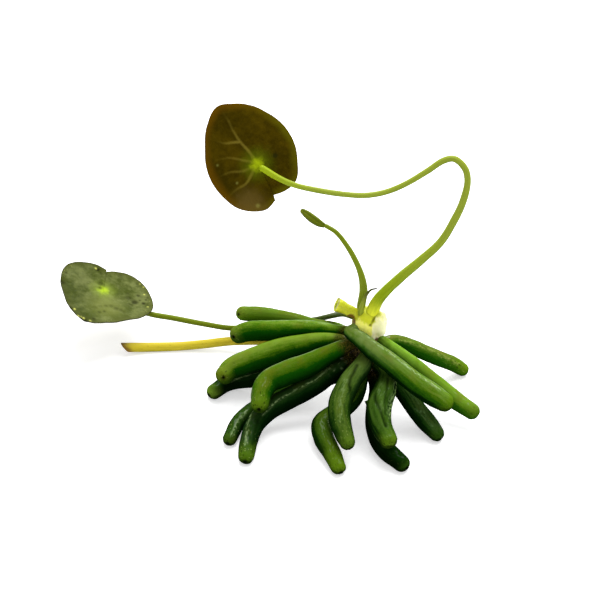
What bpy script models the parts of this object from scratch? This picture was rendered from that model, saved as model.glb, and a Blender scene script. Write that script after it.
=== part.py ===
"""Banana plant: banana-shaped tubers round a short crown, leaf stalks, two leaves and a rolled young leaf.

Metres, +Z up, the surface it stands on at z = 0. Sizes below are in millimetres, measured from a point
under the crown, and CROWN_AT then puts the middle of the whole plant over the origin.
"""
import math

import bmesh
import bpy
from mathutils import Matrix, Vector

MM = 0.001
CROWN_AT = (29.1, -4.3, 0.0)
CLEARANCE = 0.36
ROOT_DEPTH = 2.2

# Tubers: (x, y, z, half thickness) down the middle of each, from the crown to the middle of its round tip
TUBERS = {
    "tuber_01": ((-1.6, 4.3, 17.3, 1.0), (-6.5, 8.9, 17.8, 1.1), (-14.5, 13.5, 16.0, 1.3),
                 (-21.5, 17.4, 14.6, 1.9), (-30.0, 20.5, 13.6, 2.25), (-35.5, 21.5, 13.1, 2.2)),
    "tuber_02": ((-2.6, 3.0, 21.0, 1.5), (-8.0, 5.6, 19.2, 1.9), (-15.0, 9.2, 17.0, 2.6),
                 (-24.5, 12.0, 14.3, 3.0), (-34.0, 15.5, 11.0, 3.0), (-36.5, 15.5, 10.0, 2.8)),
    "tuber_03": ((-3.7, 0.6, 19.1, 1.5), (-8.0, 1.2, 19.4, 1.95), (-15.5, 3.1, 17.0, 2.7),
                 (-24.5, 4.1, 13.5, 3.15), (-33.4, 2.5, 10.8, 3.25), (-38.5, 0.4, 9.5, 3.0),
                 (-40.2, -1.4, 8.7, 2.7)),
    "tuber_04": ((-2.9, -2.2, 21.7, 1.7), (-8.5, -4.3, 20.0, 2.5), (-16.0, -6.3, 17.1, 3.0),
                 (-22.0, -7.4, 15.2, 3.1), (-27.3, -9.3, 13.3, 3.1), (-29.2, -12.7, 12.1, 3.0),
                 (-29.8, -16.4, 10.9, 2.6)),
    "tuber_05": ((-3.5, 1.0, 13.0, 1.6), (-9.5, 1.8, 12.0, 2.0), (-20.0, 2.1, 8.3, 2.4),
                 (-30.5, 2.2, 4.3, 2.5), (-39.4, 2.4, 2.4, 2.4), (-43.5, -1.0, 1.9, 2.2)),
    "tuber_06": ((-3.5, -1.0, 9.5, 1.6), (-9.5, -2.2, 8.0, 1.9), (-19.8, -4.0, 5.0, 2.1),
                 (-29.2, -7.5, 3.0, 2.2), (-35.7, -14.0, 2.3, 2.2), (-38.3, -21.0, 1.7, 2.0)),
    "tuber_07": ((-2.8, -2.5, 15.9, 1.7), (-8.3, -5.8, 14.2, 2.5), (-13.5, -8.3, 11.5, 3.0),
                 (-21.0, -10.7, 8.2, 3.1), (-27.4, -13.4, 5.8, 2.95), (-31.1, -17.8, 4.4, 2.75),
                 (-32.9, -23.6, 3.0, 2.55), (-33.5, -28.3, 1.9, 2.25)),
    "tuber_08": ((-0.6, -3.6, 12.3, 1.6), (-1.1, -7.2, 10.7, 2.0), (-3.5, -11.6, 8.3, 2.6),
                 (-7.7, -14.9, 6.4, 2.8), (-12.2, -18.4, 5.0, 2.85), (-12.0, -22.6, 4.0, 2.85),
                 (-9.8, -27.7, 2.9, 2.65), (-7.9, -32.5, 1.8, 2.15)),
    "tuber_09": ((0.3, -3.5, 18.6, 1.9), (-0.8, -7.8, 17.9, 2.65), (-4.4, -13.0, 16.1, 3.1),
                 (-7.3, -18.7, 13.0, 3.2), (-7.4, -22.8, 10.5, 3.05), (-6.3, -26.3, 8.2, 2.6),
                 (-5.4, -28.4, 7.1, 2.15)),
    "tuber_10": ((2.5, -3.0, 15.4, 1.7), (5.9, -8.0, 13.9, 2.5), (5.1, -13.8, 12.8, 3.2),
                 (3.3, -18.8, 11.3, 3.5), (3.8, -23.8, 9.7, 3.05), (5.8, -28.4, 8.2, 2.5)),
    "tuber_11": ((2.1, -3.5, 9.7, 1.5), (3.1, -7.5, 8.4, 1.9), (2.7, -15.0, 5.5, 2.6),
                 (3.0, -20.5, 4.0, 2.8), (5.3, -26.4, 2.8, 2.8), (9.6, -31.3, 2.0, 2.4)),
    "tuber_12": ((-4.6, -3.2, 26.1, 1.7), (-1.6, -5.2, 25.0, 2.3), (2.4, -7.8, 22.8, 2.7),
                 (7.5, -10.1, 19.7, 2.9), (13.5, -12.6, 15.5, 3.1), (19.5, -14.3, 11.8, 3.1),
                 (22.1, -15.1, 10.4, 2.8)),
    "tuber_13": ((4.0, -1.5, 21.8, 1.7), (8.0, -2.8, 19.0, 2.1), (13.5, -4.0, 14.7, 2.4),
                 (20.5, -6.8, 9.6, 2.6), (27.0, -10.9, 6.2, 2.6), (30.4, -13.0, 5.0, 2.4)),
    "tuber_14": ((4.5, 1.0, 18.5, 1.6), (9.0, 4.0, 16.8, 1.9), (15.1, 6.4, 12.0, 2.3),
                 (22.4, 7.9, 7.0, 2.35), (27.3, 9.1, 3.6, 2.25), (29.6, 9.1, 1.8, 1.95)),
    "tuber_15": ((4.4, -1.0, 11.2, 1.6), (7.9, -4.7, 10.5, 2.0), (11.1, -8.5, 8.8, 2.7),
                 (14.3, -12.3, 5.9, 2.8), (17.5, -16.1, 3.5, 2.7), (20.1, -19.1, 1.9, 2.25)),
}

# Spacing of the rings along each tube
TUBER_STEP = 2.5
LONG_STEP = 2.4
LOW_STEP = 3.4
OLD_STEP = 3.0
BUD_STEP = 2.6
FINE_STEP = 1.5
YOUNG_LEAF_STEP = 0.9
# How finely each tube is rounded across
TUBER_ROUNDING = 3
STALK_ROUNDING = 2
SHEATH_ROUNDING = 1

# Stalks in the same form, from the crown outwards
LONG_STALK = ((1.6, 0.2, 28.0, 1.8), (2.0, 0.2, 31.0, 1.85), (3.2, 0.6, 34.2, 1.7),
              (5.5, 1.2, 37.3, 1.5), (10.0, 2.4, 41.7, 1.4), (15.0, 4.0, 45.8, 1.25),
              (20.5, 6.0, 50.8, 1.15), (24.0, 8.0, 56.6, 1.1), (26.4, 10.0, 62.0, 1.05),
              (27.4, 12.0, 67.2, 0.95), (26.5, 13.2, 70.4, 0.95), (23.5, 14.0, 72.9, 0.9),
              (20.6, 14.0, 72.3, 0.9), (16.3, 13.2, 69.4, 0.85), (10.9, 12.0, 66.3, 0.8),
              (5.5, 11.0, 64.2, 0.8), (0.0, 10.2, 63.5, 0.8), (-5.6, 9.8, 64.0, 0.8),
              (-13.0, 9.9, 65.2, 0.8), (-19.8, 10.8, 66.4, 0.8), (-24.2, 12.2, 67.7, 0.85),
              (-28.8, 14.3, 69.6, 0.9))
LOW_STALK = ((-2.6, 0.8, 28.0, 0.9), (-4.3, 2.6, 27.4, 0.9), (-6.1, 6.0, 25.3, 0.9),
             (-8.6, 11.0, 20.8, 0.85), (-11.2, 14.5, 17.2, 0.8), (-14.1, 17.2, 14.2, 0.8),
             (-21.5, 20.6, 10.4, 0.85), (-29.9, 22.4, 7.8, 0.85), (-39.0, 23.1, 6.2, 0.85),
             (-47.7, 25.6, 5.8, 0.85), (-57.1, 28.2, 6.0, 0.85), (-64.0, 29.4, 6.6, 0.85),
             (-71.5, 30.6, 8.6, 0.85), (-76.8, 32.3, 11.0, 0.85))
OLD_STALK = ((-2.0, 2.8, 9.7, 1.3), (-8.5, 8.0, 8.8, 1.3), (-17.0, 13.8, 7.0, 1.3),
             (-27.5, 18.6, 4.8, 1.3), (-39.1, 20.8, 3.0, 1.35), (-47.3, 20.8, 1.9, 1.35),
             (-54.8, 20.6, 1.2, 1.35), (-63.8, 20.0, 1.3, 1.4), (-71.2, 18.9, 2.1, 1.45))
BUD_STALK = ((-1.2, 2.3, 27.0, 1.2), (-1.2, 2.5, 31.0, 1.25), (-0.7, 2.6, 36.2, 1.2),
             (-1.2, 3.2, 40.4, 1.0), (-2.8, 4.2, 44.9, 0.8), (-5.5, 6.0, 49.4, 0.7),
             (-8.5, 7.8, 52.7, 0.65), (-11.2, 9.1, 53.9, 0.65))
SHEATH = ((-1.2, -0.3, 29.4, 0.85), (-1.4, -0.7, 31.6, 0.85), (-0.8, -0.7, 34.8, 0.65),
          (0.1, -0.3, 37.2, 0.45), (1.3, 0.0, 38.6, 0.28), (2.6, 0.4, 38.7, 0.22))

# The rolled young leaf: thin ends, widest in the middle
YOUNG_LEAF = ((-11.7, 9.3, 53.9, 0.65), (-13.2, 9.8, 54.4, 1.05), (-15.2, 10.4, 55.6, 1.2),
              (-17.0, 11.0, 56.9, 0.85), (-18.1, 11.3, 57.8, 0.45))

# Leaves: rim as (degrees in the blade's plane, distance from the stalk), from one side of the slit round
UPPER_RIM = ((301, 9.6), (318, 10.6), (338, 11.6), (364, 11.2), (391, 11.9), (412, 12.9), (440, 14.7),
             (459, 16.8), (472, 18.2), (485, 19.5), (500, 17.8), (522, 15.2), (540, 14.2), (563, 13.4),
             (585, 13.0), (606, 13.2), (624, 13.0), (642, 12.6), (657, 11.2))
LEFT_RIM = ((94, 9.0), (112, 11.5), (130, 13.0), (150, 14.0), (184, 13.4), (212, 13.8), (237, 16.0),
            (258, 17.9), (280, 15.8), (304, 14.9), (330, 15.8), (345, 16.1), (370, 14.4), (396, 13.2),
            (417, 11.8), (433, 9.8), (450, 8.6))
LEAF_THICKNESS = 0.6
LEAF_SPOKES = 30
LEAF_RINGS = 4
# Where each blade meets its stalk, how it is tipped in degrees, and how far its rim stands out of flat
UPPER_LEAF_AT = (-30.3, 16.4, 69.5)
UPPER_LEAF_FACES_UP = 38.0
UPPER_LEAF_CUP = -1.2
LEFT_LEAF_AT = (-78.2, 32.6, 13.2)
LEFT_LEAF_LEANS_RIGHT = 18.0
LEFT_LEAF_CUP = 0.9

# The crown: outline of the short upright rhizome as (distance from its axis, height), top to bottom
CROWN_AXIS = (0.5, 0.5)
CROWN_OUTLINE = ((0.0, 31.2), (1.9, 30.9), (3.3, 29.6), (4.2, 27.4), (4.5, 25.0), (4.3, 22.0),
                 (4.2, 18.0), (4.2, 14.0), (3.8, 10.5), (3.1, 8.0), (1.9, 6.4), (0.0, 5.8))
CROWN_SIDES = 14
# The pale lump on its right: middle, half sizes, and how far each top corner stands up or leans
LUMP_AT = (3.2, -0.6, 26.8)
LUMP_HALF = (3.9, 3.9, 5.0)
LUMP_FOOT = 0.8
LUMP_PEAKS = {(1, -1): (0.5, -0.2, 1.0), (1, 1): (0.9, 0.4, -0.6),
              (-1, -1): (0.3, 0.2, -0.9), (-1, 1): (0.0, 0.3, 1.3)}
# The cut stub of an old leaf stalk on its left, flared at the cut
STUB = ((-0.5, 0.5, 28.4, 1.7), (-3.6, 0.6, 30.1, 1.6), (-6.2, 0.8, 31.6, 1.75), (-8.3, 0.9, 32.8, 2.1))

GREEN = (0.07, 0.17, 0.02)
DARK_GREEN = (0.02, 0.07, 0.01)
STALK_GREEN = (0.28, 0.38, 0.05)
OLD_YELLOW = (0.45, 0.42, 0.03)
LEAF_BROWN = (0.06, 0.04, 0.005)
LEAF_OLIVE = (0.11, 0.14, 0.03)
CROWN_CREAM = (0.76, 0.76, 0.30)
BUD_GREEN = (0.12, 0.17, 0.01)
TUBER_ROUGHNESS = 0.3
STALK_ROUGHNESS = 0.35
LEAF_ROUGHNESS = 0.4
CROWN_ROUGHNESS = 0.5


def clear_scene():
    """Remove whatever the scene holds."""
    for old in list(bpy.context.scene.objects):
        bpy.data.objects.remove(old, do_unlink=True)


def collection(name):
    """Make a collection in the scene."""
    made = bpy.data.collections.new(name)
    bpy.context.scene.collection.children.link(made)
    return made


def material(name, colour, roughness):
    """Make a plain plant surface."""
    made = bpy.data.materials.new(name)
    made.use_nodes = True
    shader = made.node_tree.nodes["Principled BSDF"]
    shader.inputs["Base Color"].default_value = (*colour, 1.0)
    shader.inputs["Roughness"].default_value = roughness
    shader.inputs["Metallic"].default_value = 0.0
    return made


def smooth_route(points, spacing):
    """A smooth curve through hand-placed points, as evenly spaced (place, half thickness) pairs."""
    rows = [Vector(point) for point in points]
    rows = [rows[0] * 2 - rows[1], *rows, rows[-1] * 2 - rows[-2]]
    fine = []
    for before, start, end, after in zip(rows, rows[1:], rows[2:], rows[3:]):
        first = (start - before).length ** 0.5
        middle = (end - start).length ** 0.5
        last = (after - end).length ** 0.5
        chord = (end - start) / middle
        leave = ((start - before) / first - (end - before) / (first + middle) + chord) * middle
        arrive = (chord - (after - start) / (middle + last) + (after - end) / last) * middle
        for step in range(16):
            t = step / 16
            fine.append((2 * t**3 - 3 * t**2 + 1) * start + (t**3 - 2 * t**2 + t) * leave
                        + (3 * t**2 - 2 * t**3) * end + (t**3 - t**2) * arrive)
    fine.append(rows[-2])
    lengths = [0.0]
    for here, there in zip(fine, fine[1:]):
        lengths.append(lengths[-1] + (there - here).to_3d().length)
    count = max(2, round(lengths[-1] / spacing))
    route = []
    index = 0
    for step in range(count + 1):
        wanted = lengths[-1] * step / count
        while index < len(fine) - 2 and lengths[index + 1] < wanted:
            index += 1
        part = (wanted - lengths[index]) / (lengths[index + 1] - lengths[index])
        point = fine[index].lerp(fine[index + 1], part)
        route.append((point.to_3d(), point.w))
    return route


def round_end(route, steps=3, last=0.38):
    """Carry a route on past its last point as a round end of that point's half thickness."""
    end, radius = route[-1]
    ahead = (end - route[-2][0]).normalized()
    turn = math.acos(last) / steps
    cap = []
    for step in range(1, steps + 1):
        cap.append((end + ahead * radius * math.sin(turn * step), radius * math.cos(turn * step)))
    return route + cap


def rooted(points):
    """Start a route inside the crown, whose clearance trims it later."""
    start = Vector(points[0][:3])
    inward = Vector((*CROWN_AXIS, start.z)) - start
    inner = start + inward.normalized() * ROOT_DEPTH
    return ((*inner, points[0][3]), *points)


def mesh_object(name, mesh, group, finish=None):
    """Put a mesh in the scene as a named, smooth-shaded object that stands on the plant's empty."""
    made = bpy.data.objects.new(name, mesh)
    group.objects.link(made)
    made.parent = plant
    mesh.shade_smooth()
    mesh.set_sharp_from_angle(angle=math.radians(50))
    if finish:
        mesh.materials.clear()
        mesh.materials.append(finish)
    return made


def as_mesh(source):
    """The mesh of an object as its modifiers leave it, with its caps welded."""
    bpy.context.view_layer.update()
    evaluated = source.evaluated_get(bpy.context.evaluated_depsgraph_get())
    mesh = bpy.data.meshes.new_from_object(evaluated)
    shape = bmesh.new()
    shape.from_mesh(mesh)
    bmesh.ops.remove_doubles(shape, verts=shape.verts, dist=0.01 * MM)
    bmesh.ops.recalc_face_normals(shape, faces=shape.faces)
    shape.to_mesh(mesh)
    shape.free()
    return mesh


def tube_mesh(name, route, bevel_resolution):
    """A tapering round tube along a route, closed at both ends."""
    curve = bpy.data.curves.new(name, "CURVE")
    curve.dimensions = "3D"
    curve.bevel_depth = MM
    curve.bevel_resolution = bevel_resolution
    curve.use_fill_caps = True
    curve.twist_mode = "MINIMUM"
    spline = curve.splines.new("POLY")
    spline.points.add(len(route) - 1)
    for point, (place, radius) in zip(spline.points, route):
        point.co = (*(place * MM), 1.0)
        point.radius = radius
    holder = bpy.data.objects.new(name + "_curve", curve)
    bpy.context.scene.collection.objects.link(holder)
    mesh = as_mesh(holder)
    mesh.name = name
    bpy.data.objects.remove(holder, do_unlink=True)
    bpy.data.curves.remove(curve)
    return mesh


def flatten_where_it_rests(mesh):
    """Cut a mesh level at the surface it rests on, which leaves a small flat patch."""
    shape = bmesh.new()
    shape.from_mesh(mesh)
    everything = [*shape.verts, *shape.edges, *shape.faces]
    cut = bmesh.ops.bisect_plane(shape, geom=everything, dist=0.001 * MM, clear_inner=True,
                                 plane_co=(0, 0, 0), plane_no=(0, 0, 1))
    rim = [item for item in cut["geom_cut"] if isinstance(item, bmesh.types.BMEdge)]
    if rim:
        bmesh.ops.holes_fill(shape, edges=rim, sides=0)
        bmesh.ops.recalc_face_normals(shape, faces=shape.faces)
    shape.to_mesh(mesh)
    shape.free()


def hide_cutter(piece):
    """Keep a shape that only cuts or joins out of the plant."""
    piece.hide_render = True
    piece.display_type = "WIRE"


def trim_at_crown(piece):
    """Cut a piece back to the crown's surface, with a small gap."""
    cut = piece.modifiers.new("meets_crown", "BOOLEAN")
    cut.operation = "DIFFERENCE"
    cut.solver = "EXACT"
    cut.object = crown_clearance


def crown_core():
    """The turned rhizome, down its outline."""
    line = bpy.data.meshes.new("crown_outline")
    shape = bmesh.new()
    spots = [shape.verts.new((radius * MM, 0, height * MM)) for radius, height in CROWN_OUTLINE]
    for above, below in zip(spots, spots[1:]):
        shape.edges.new((above, below))
    shape.to_mesh(line)
    shape.free()
    turned = bpy.data.objects.new("crown_turned", line)
    cutters.objects.link(turned)
    screw = turned.modifiers.new("turn", "SCREW")
    screw.steps = screw.render_steps = CROWN_SIDES
    screw.use_merge_vertices = True
    screw.merge_threshold = 0.01 * MM
    mesh = as_mesh(turned)
    bpy.data.objects.remove(turned, do_unlink=True)
    mesh.transform(Matrix.Translation((CROWN_AXIS[0] * MM, CROWN_AXIS[1] * MM, 0)))
    return mesh


def crown_lump():
    """The cage of the pale lump: a box narrower below, its top corners standing up unevenly."""
    shape = bmesh.new()
    bmesh.ops.create_cube(shape, size=2.0)
    bmesh.ops.scale(shape, vec=LUMP_HALF, verts=shape.verts)
    for corner in shape.verts:
        if corner.co.z > 0:
            side = (int(math.copysign(1, corner.co.x)), int(math.copysign(1, corner.co.y)))
            corner.co += Vector(LUMP_PEAKS[side])
        else:
            corner.co.x *= LUMP_FOOT
            corner.co.y *= LUMP_FOOT
    bmesh.ops.translate(shape, vec=LUMP_AT, verts=shape.verts)
    bmesh.ops.scale(shape, vec=(MM, MM, MM), verts=shape.verts)
    mesh = bpy.data.meshes.new("pale_lump")
    shape.to_mesh(mesh)
    shape.free()
    return mesh


def build_crown(name, group, swell, finish=None):
    """The rhizome with the pale lump and the cut stub that grow from it, each made larger by swell."""
    crown = mesh_object(name, crown_core(), group, finish)
    lump = mesh_object(name + "_lump", crown_lump(), cutters)
    rounded = lump.modifiers.new("rounded", "SUBSURF")
    rounded.levels = rounded.render_levels = 2
    stub_mesh = tube_mesh(name + "_stub", smooth_route(STUB, FINE_STEP), TUBER_ROUNDING)
    stub = mesh_object(name + "_stub", stub_mesh, cutters)
    if swell:
        for grown in (crown, lump, stub):
            larger = grown.modifiers.new("larger", "DISPLACE")
            larger.direction = "NORMAL"
            larger.mid_level = 0.0
            larger.strength = swell * MM
    for grown in (lump, stub):
        hide_cutter(grown)
        join = crown.modifiers.new("grows_" + grown.name, "BOOLEAN")
        join.operation = "UNION"
        join.solver = "EXACT"
        join.object = grown
    return crown


def build_tubers():
    """Fifteen tubers, the lowest flattened a little where they rest."""
    for number, (name, points) in enumerate(TUBERS.items()):
        colour = DARK_GREEN if name in ("tuber_06", "tuber_07", "tuber_11") else GREEN
        route = round_end(smooth_route(rooted(points), TUBER_STEP))
        mesh = tube_mesh(name, route, TUBER_ROUNDING)
        flatten_where_it_rests(mesh)
        trim_at_crown(mesh_object(name, mesh, parts, material(name, colour, TUBER_ROUGHNESS)))


def build_stalk(name, points, spacing, colour, rounding=STALK_ROUNDING, rounded=True, from_crown=True):
    """One stalk, with a round free end unless it was cut there or meets the young leaf."""
    route = smooth_route(points, spacing)
    if rounded:
        route = round_end(route, steps=2, last=0.5)
    mesh = tube_mesh(name, route, rounding)
    flatten_where_it_rests(mesh)
    stalk = mesh_object(name, mesh, parts, material(name, colour, STALK_ROUGHNESS))
    if from_crown:
        trim_at_crown(stalk)


def rim_distance(rim, angle):
    """Distance from the stalk to the leaf's rim at an angle, smooth between the rim's points."""
    index = 0
    while index < len(rim) - 2 and rim[index + 1][0] < angle:
        index += 1
    rows = [rim[max(0, index - 1)], rim[index], rim[index + 1], rim[min(len(rim) - 1, index + 2)]]
    t = (angle - rows[1][0]) / (rows[2][0] - rows[1][0])
    leave = (rows[2][1] - rows[0][1]) / 2
    arrive = (rows[3][1] - rows[1][1]) / 2
    return ((2 * t**3 - 3 * t**2 + 1) * rows[1][1] + (t**3 - 2 * t**2 + t) * leave
            + (3 * t**2 - 2 * t**3) * rows[2][1] + (t**3 - t**2) * arrive)


def build_leaf(name, rim, place, cup, colour):
    """A thin leaf blade: a spoke spun round the stalk's end, stretched to the rim, cupped and thickened."""
    shape = bmesh.new()
    spots = [shape.verts.new((ring / LEAF_RINGS, 0, 0)) for ring in range(LEAF_RINGS + 1)]
    spoke = [shape.edges.new(pair) for pair in zip(spots, spots[1:])]
    start, end = math.radians(rim[0][0]), math.radians(rim[-1][0])
    bmesh.ops.rotate(shape, verts=shape.verts, cent=(0, 0, 0), matrix=Matrix.Rotation(start, 3, "Z"))
    bmesh.ops.spin(shape, geom=spots + spoke, cent=(0, 0, 0), axis=(0, 0, 1), angle=end - start,
                   steps=LEAF_SPOKES)
    bmesh.ops.remove_doubles(shape, verts=shape.verts, dist=0.0001)
    for spot in shape.verts:
        part = spot.co.length
        if part < 0.001:
            continue
        angle = math.degrees(math.atan2(spot.co.y, spot.co.x)) % 360
        while angle < rim[0][0] - 0.5:
            angle += 360
        reach = rim_distance(rim, min(angle, rim[-1][0])) * part
        turned = math.radians(angle)
        spot.co = (reach * math.cos(turned), reach * math.sin(turned), cup * part**2)
    bmesh.ops.scale(shape, vec=(MM, MM, MM), verts=shape.verts)
    bmesh.ops.transform(shape, matrix=place, verts=shape.verts)
    mesh = bpy.data.meshes.new(name)
    bmesh.ops.recalc_face_normals(shape, faces=shape.faces)
    shape.to_mesh(mesh)
    shape.free()
    leaf = mesh_object(name, mesh, parts, material(name, colour, LEAF_ROUGHNESS))
    thick = leaf.modifiers.new("thickness", "SOLIDIFY")
    thick.thickness = LEAF_THICKNESS * MM
    thick.offset = 0.0


clear_scene()
parts = collection("banana_plant")
cutters = collection("cutters")
plant = bpy.data.objects.new("plant", None)
parts.objects.link(plant)
plant.location = Vector(CROWN_AT) * MM

build_crown("crown", parts, 0.0, material("crown", CROWN_CREAM, CROWN_ROUGHNESS))
crown_clearance = build_crown("crown_clearance", cutters, CLEARANCE)
hide_cutter(crown_clearance)
build_tubers()
build_stalk("long_stalk", LONG_STALK, LONG_STEP, STALK_GREEN)
build_stalk("low_stalk", LOW_STALK, LOW_STEP, STALK_GREEN)
build_stalk("old_stalk", OLD_STALK, OLD_STEP, OLD_YELLOW, rounded=False)
build_stalk("bud_stalk", BUD_STALK, BUD_STEP, BUD_GREEN, rounded=False)
build_stalk("sheath", SHEATH, FINE_STEP, BUD_GREEN, rounding=SHEATH_ROUNDING)
build_stalk("young_leaf", YOUNG_LEAF, YOUNG_LEAF_STEP, BUD_GREEN, from_crown=False)

upper_place = (Matrix.Translation(Vector(UPPER_LEAF_AT) * MM)
               @ Matrix.Rotation(math.radians(90 - UPPER_LEAF_FACES_UP), 4, "X"))
build_leaf("upper_leaf", UPPER_RIM, upper_place, UPPER_LEAF_CUP, LEAF_BROWN)
left_place = (Matrix.Translation(Vector(LEFT_LEAF_AT) * MM)
              @ Matrix.Rotation(math.radians(LEFT_LEAF_LEANS_RIGHT), 4, "Y"))
build_leaf("left_leaf", LEFT_RIM, left_place, LEFT_LEAF_CUP, LEAF_OLIVE)
bpy.context.view_layer.update()
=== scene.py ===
"""Banana plant: wet green tubers round a pale crown, leaf stalks, two floating leaves, a rolled young leaf.

Sizes are in millimetres from a point under the crown, the same as the solids' own. Each mesh is set down in
metres at its place when it is finished.
"""
import logging
import math
from dataclasses import dataclass, field
from enum import Enum
from functools import cached_property
from typing import Any, Optional, Sequence, Union

import bmesh
import bpy
from mathutils import Matrix, Vector, kdtree, noise


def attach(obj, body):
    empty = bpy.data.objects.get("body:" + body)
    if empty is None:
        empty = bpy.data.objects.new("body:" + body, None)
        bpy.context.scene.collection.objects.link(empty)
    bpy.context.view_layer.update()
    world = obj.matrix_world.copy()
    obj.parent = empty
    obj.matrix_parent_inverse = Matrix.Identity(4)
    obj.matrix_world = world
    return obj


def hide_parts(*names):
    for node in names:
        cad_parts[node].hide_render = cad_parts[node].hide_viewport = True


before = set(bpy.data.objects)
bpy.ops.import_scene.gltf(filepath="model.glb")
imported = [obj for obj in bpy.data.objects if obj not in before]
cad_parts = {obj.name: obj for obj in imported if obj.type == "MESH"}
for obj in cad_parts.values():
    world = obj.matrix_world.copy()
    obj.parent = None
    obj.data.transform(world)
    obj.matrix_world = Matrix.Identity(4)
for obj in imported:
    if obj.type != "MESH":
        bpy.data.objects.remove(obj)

LOG = logging.getLogger("banana_plant")
MM = 0.001

# Where the point under the crown stands, and the crown's upright axis from there
CROWN_AT = Vector((29.1, -4.3, 0.0))
CROWN_AXIS = (0.5, 0.5)

# Refraction of the thin layer of water on wet skin
WATER = 1.36

# Short steps between two given points of a route, before it is spaced evenly
ROUTE_STEPS = 40

Colour = tuple[float, float, float, float]
Row = tuple[float, ...]
Span = tuple[float, float]

# Middle lines of the tubers and stalks, from the crown outwards, as (x, y, z, half thickness)
TUBERS: dict[str, tuple[Row, ...]] = {
    "tuber_01": ((-1.6, 4.3, 17.3, 1.0), (-6.5, 8.9, 17.8, 1.1), (-14.5, 13.5, 16.0, 1.3),
                 (-21.5, 17.4, 14.6, 1.9), (-30.0, 20.5, 13.6, 2.25), (-35.5, 21.5, 13.1, 2.2)),
    "tuber_02": ((-2.6, 3.0, 21.0, 1.5), (-8.0, 5.6, 19.2, 1.9), (-15.0, 9.2, 17.0, 2.6),
                 (-24.5, 12.0, 14.3, 3.0), (-34.0, 15.5, 11.0, 3.0), (-36.5, 15.5, 10.0, 2.8)),
    "tuber_03": ((-3.7, 0.6, 19.1, 1.5), (-8.0, 1.2, 19.4, 1.95), (-15.5, 2.92, 16.76, 3.0),
                 (-24.5, 3.79, 13.1, 3.65), (-33.4, 2.4, 10.68, 3.4), (-38.5, 0.4, 9.5, 3.0),
                 (-40.2, -1.4, 8.7, 2.7)),
    "tuber_04": ((-2.9, -2.2, 21.7, 1.7), (-8.5, -4.3, 20.0, 2.5), (-16.0, -6.52, 16.82, 3.35),
                 (-22.0, -7.71, 14.8, 3.6), (-27.3, -9.42, 13.14, 3.3), (-29.2, -12.7, 12.1, 3.0),
                 (-29.8, -16.4, 10.9, 2.6)),
    "tuber_05": ((-3.5, 1.0, 13.0, 1.6), (-9.5, 1.8, 12.0, 2.0), (-20.0, 2.1, 8.3, 2.4),
                 (-30.5, 2.2, 4.3, 2.5), (-39.4, 2.4, 2.4, 2.4), (-43.5, -1.0, 1.9, 2.2)),
    "tuber_06": ((-3.5, -1.0, 9.5, 1.6), (-9.5, -2.2, 8.0, 1.9), (-19.8, -4.0, 5.0, 2.1),
                 (-29.2, -7.5, 3.0, 2.2), (-35.7, -14.0, 2.3, 2.2), (-38.3, -21.0, 1.7, 2.0)),
    "tuber_07": ((-2.8, -2.5, 15.9, 1.7), (-8.3, -5.8, 14.2, 2.5), (-13.5, -8.3, 11.5, 3.0),
                 (-21.0, -10.7, 8.2, 3.1), (-27.4, -13.4, 5.8, 2.95), (-31.1, -17.8, 4.4, 2.75),
                 (-32.9, -23.6, 3.0, 2.55), (-33.5, -28.3, 1.9, 2.25)),
    "tuber_08": ((-0.6, -3.6, 12.3, 1.6), (-1.1, -7.2, 10.7, 2.0), (-3.5, -11.6, 8.3, 2.6),
                 (-7.7, -14.9, 6.4, 2.8), (-12.2, -18.4, 5.0, 2.85), (-12.0, -22.6, 4.0, 2.85),
                 (-9.8, -27.7, 2.9, 2.65), (-7.9, -32.5, 1.8, 2.15)),
    "tuber_09": ((0.3, -3.5, 18.6, 1.9), (-0.8, -7.8, 17.9, 2.65), (-4.4, -13.0, 16.1, 3.1),
                 (-7.3, -18.7, 13.0, 3.2), (-7.4, -22.8, 10.5, 3.05), (-6.3, -26.3, 8.2, 2.6),
                 (-5.4, -28.4, 7.1, 2.15)),
    "tuber_10": ((2.5, -3.0, 15.4, 1.7), (5.9, -8.0, 13.9, 2.5), (5.1, -13.8, 12.8, 3.2),
                 (3.3, -18.8, 11.3, 3.5), (3.8, -23.8, 9.7, 3.05), (5.8, -28.4, 8.2, 2.5)),
    "tuber_11": ((2.1, -3.5, 9.7, 1.5), (3.1, -7.5, 8.4, 1.9), (2.7, -15.0, 5.5, 2.6),
                 (3.0, -20.5, 4.0, 2.8), (5.3, -26.4, 2.8, 2.8), (9.6, -31.3, 2.0, 2.4)),
    "tuber_12": ((-4.6, -3.2, 26.1, 1.7), (-1.6, -5.2, 25.0, 2.3), (2.4, -7.8, 22.8, 2.7),
                 (7.5, -10.1, 19.7, 2.9), (13.5, -12.6, 15.5, 3.1), (19.5, -14.3, 11.8, 3.1),
                 (22.1, -15.1, 10.4, 2.8)),
    "tuber_13": ((4.0, -1.5, 21.8, 1.7), (8.0, -2.8, 19.0, 2.1), (13.5, -4.0, 14.7, 2.4),
                 (20.5, -6.8, 9.6, 2.6), (27.0, -10.9, 6.2, 2.6), (30.4, -13.0, 5.0, 2.4)),
    "tuber_14": ((4.5, 1.0, 18.5, 1.6), (9.0, 4.0, 16.8, 1.9), (15.1, 6.4, 12.0, 2.3),
                 (22.4, 7.9, 7.0, 2.35), (27.3, 9.1, 3.6, 2.25), (29.6, 9.1, 1.8, 1.95)),
    "tuber_15": ((4.4, -1.0, 11.2, 1.6), (7.9, -4.7, 10.5, 2.0), (11.1, -8.5, 8.8, 2.7),
                 (14.3, -12.3, 5.9, 2.8), (17.5, -16.1, 3.5, 2.7), (20.1, -19.1, 1.9, 2.25)),
}
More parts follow.
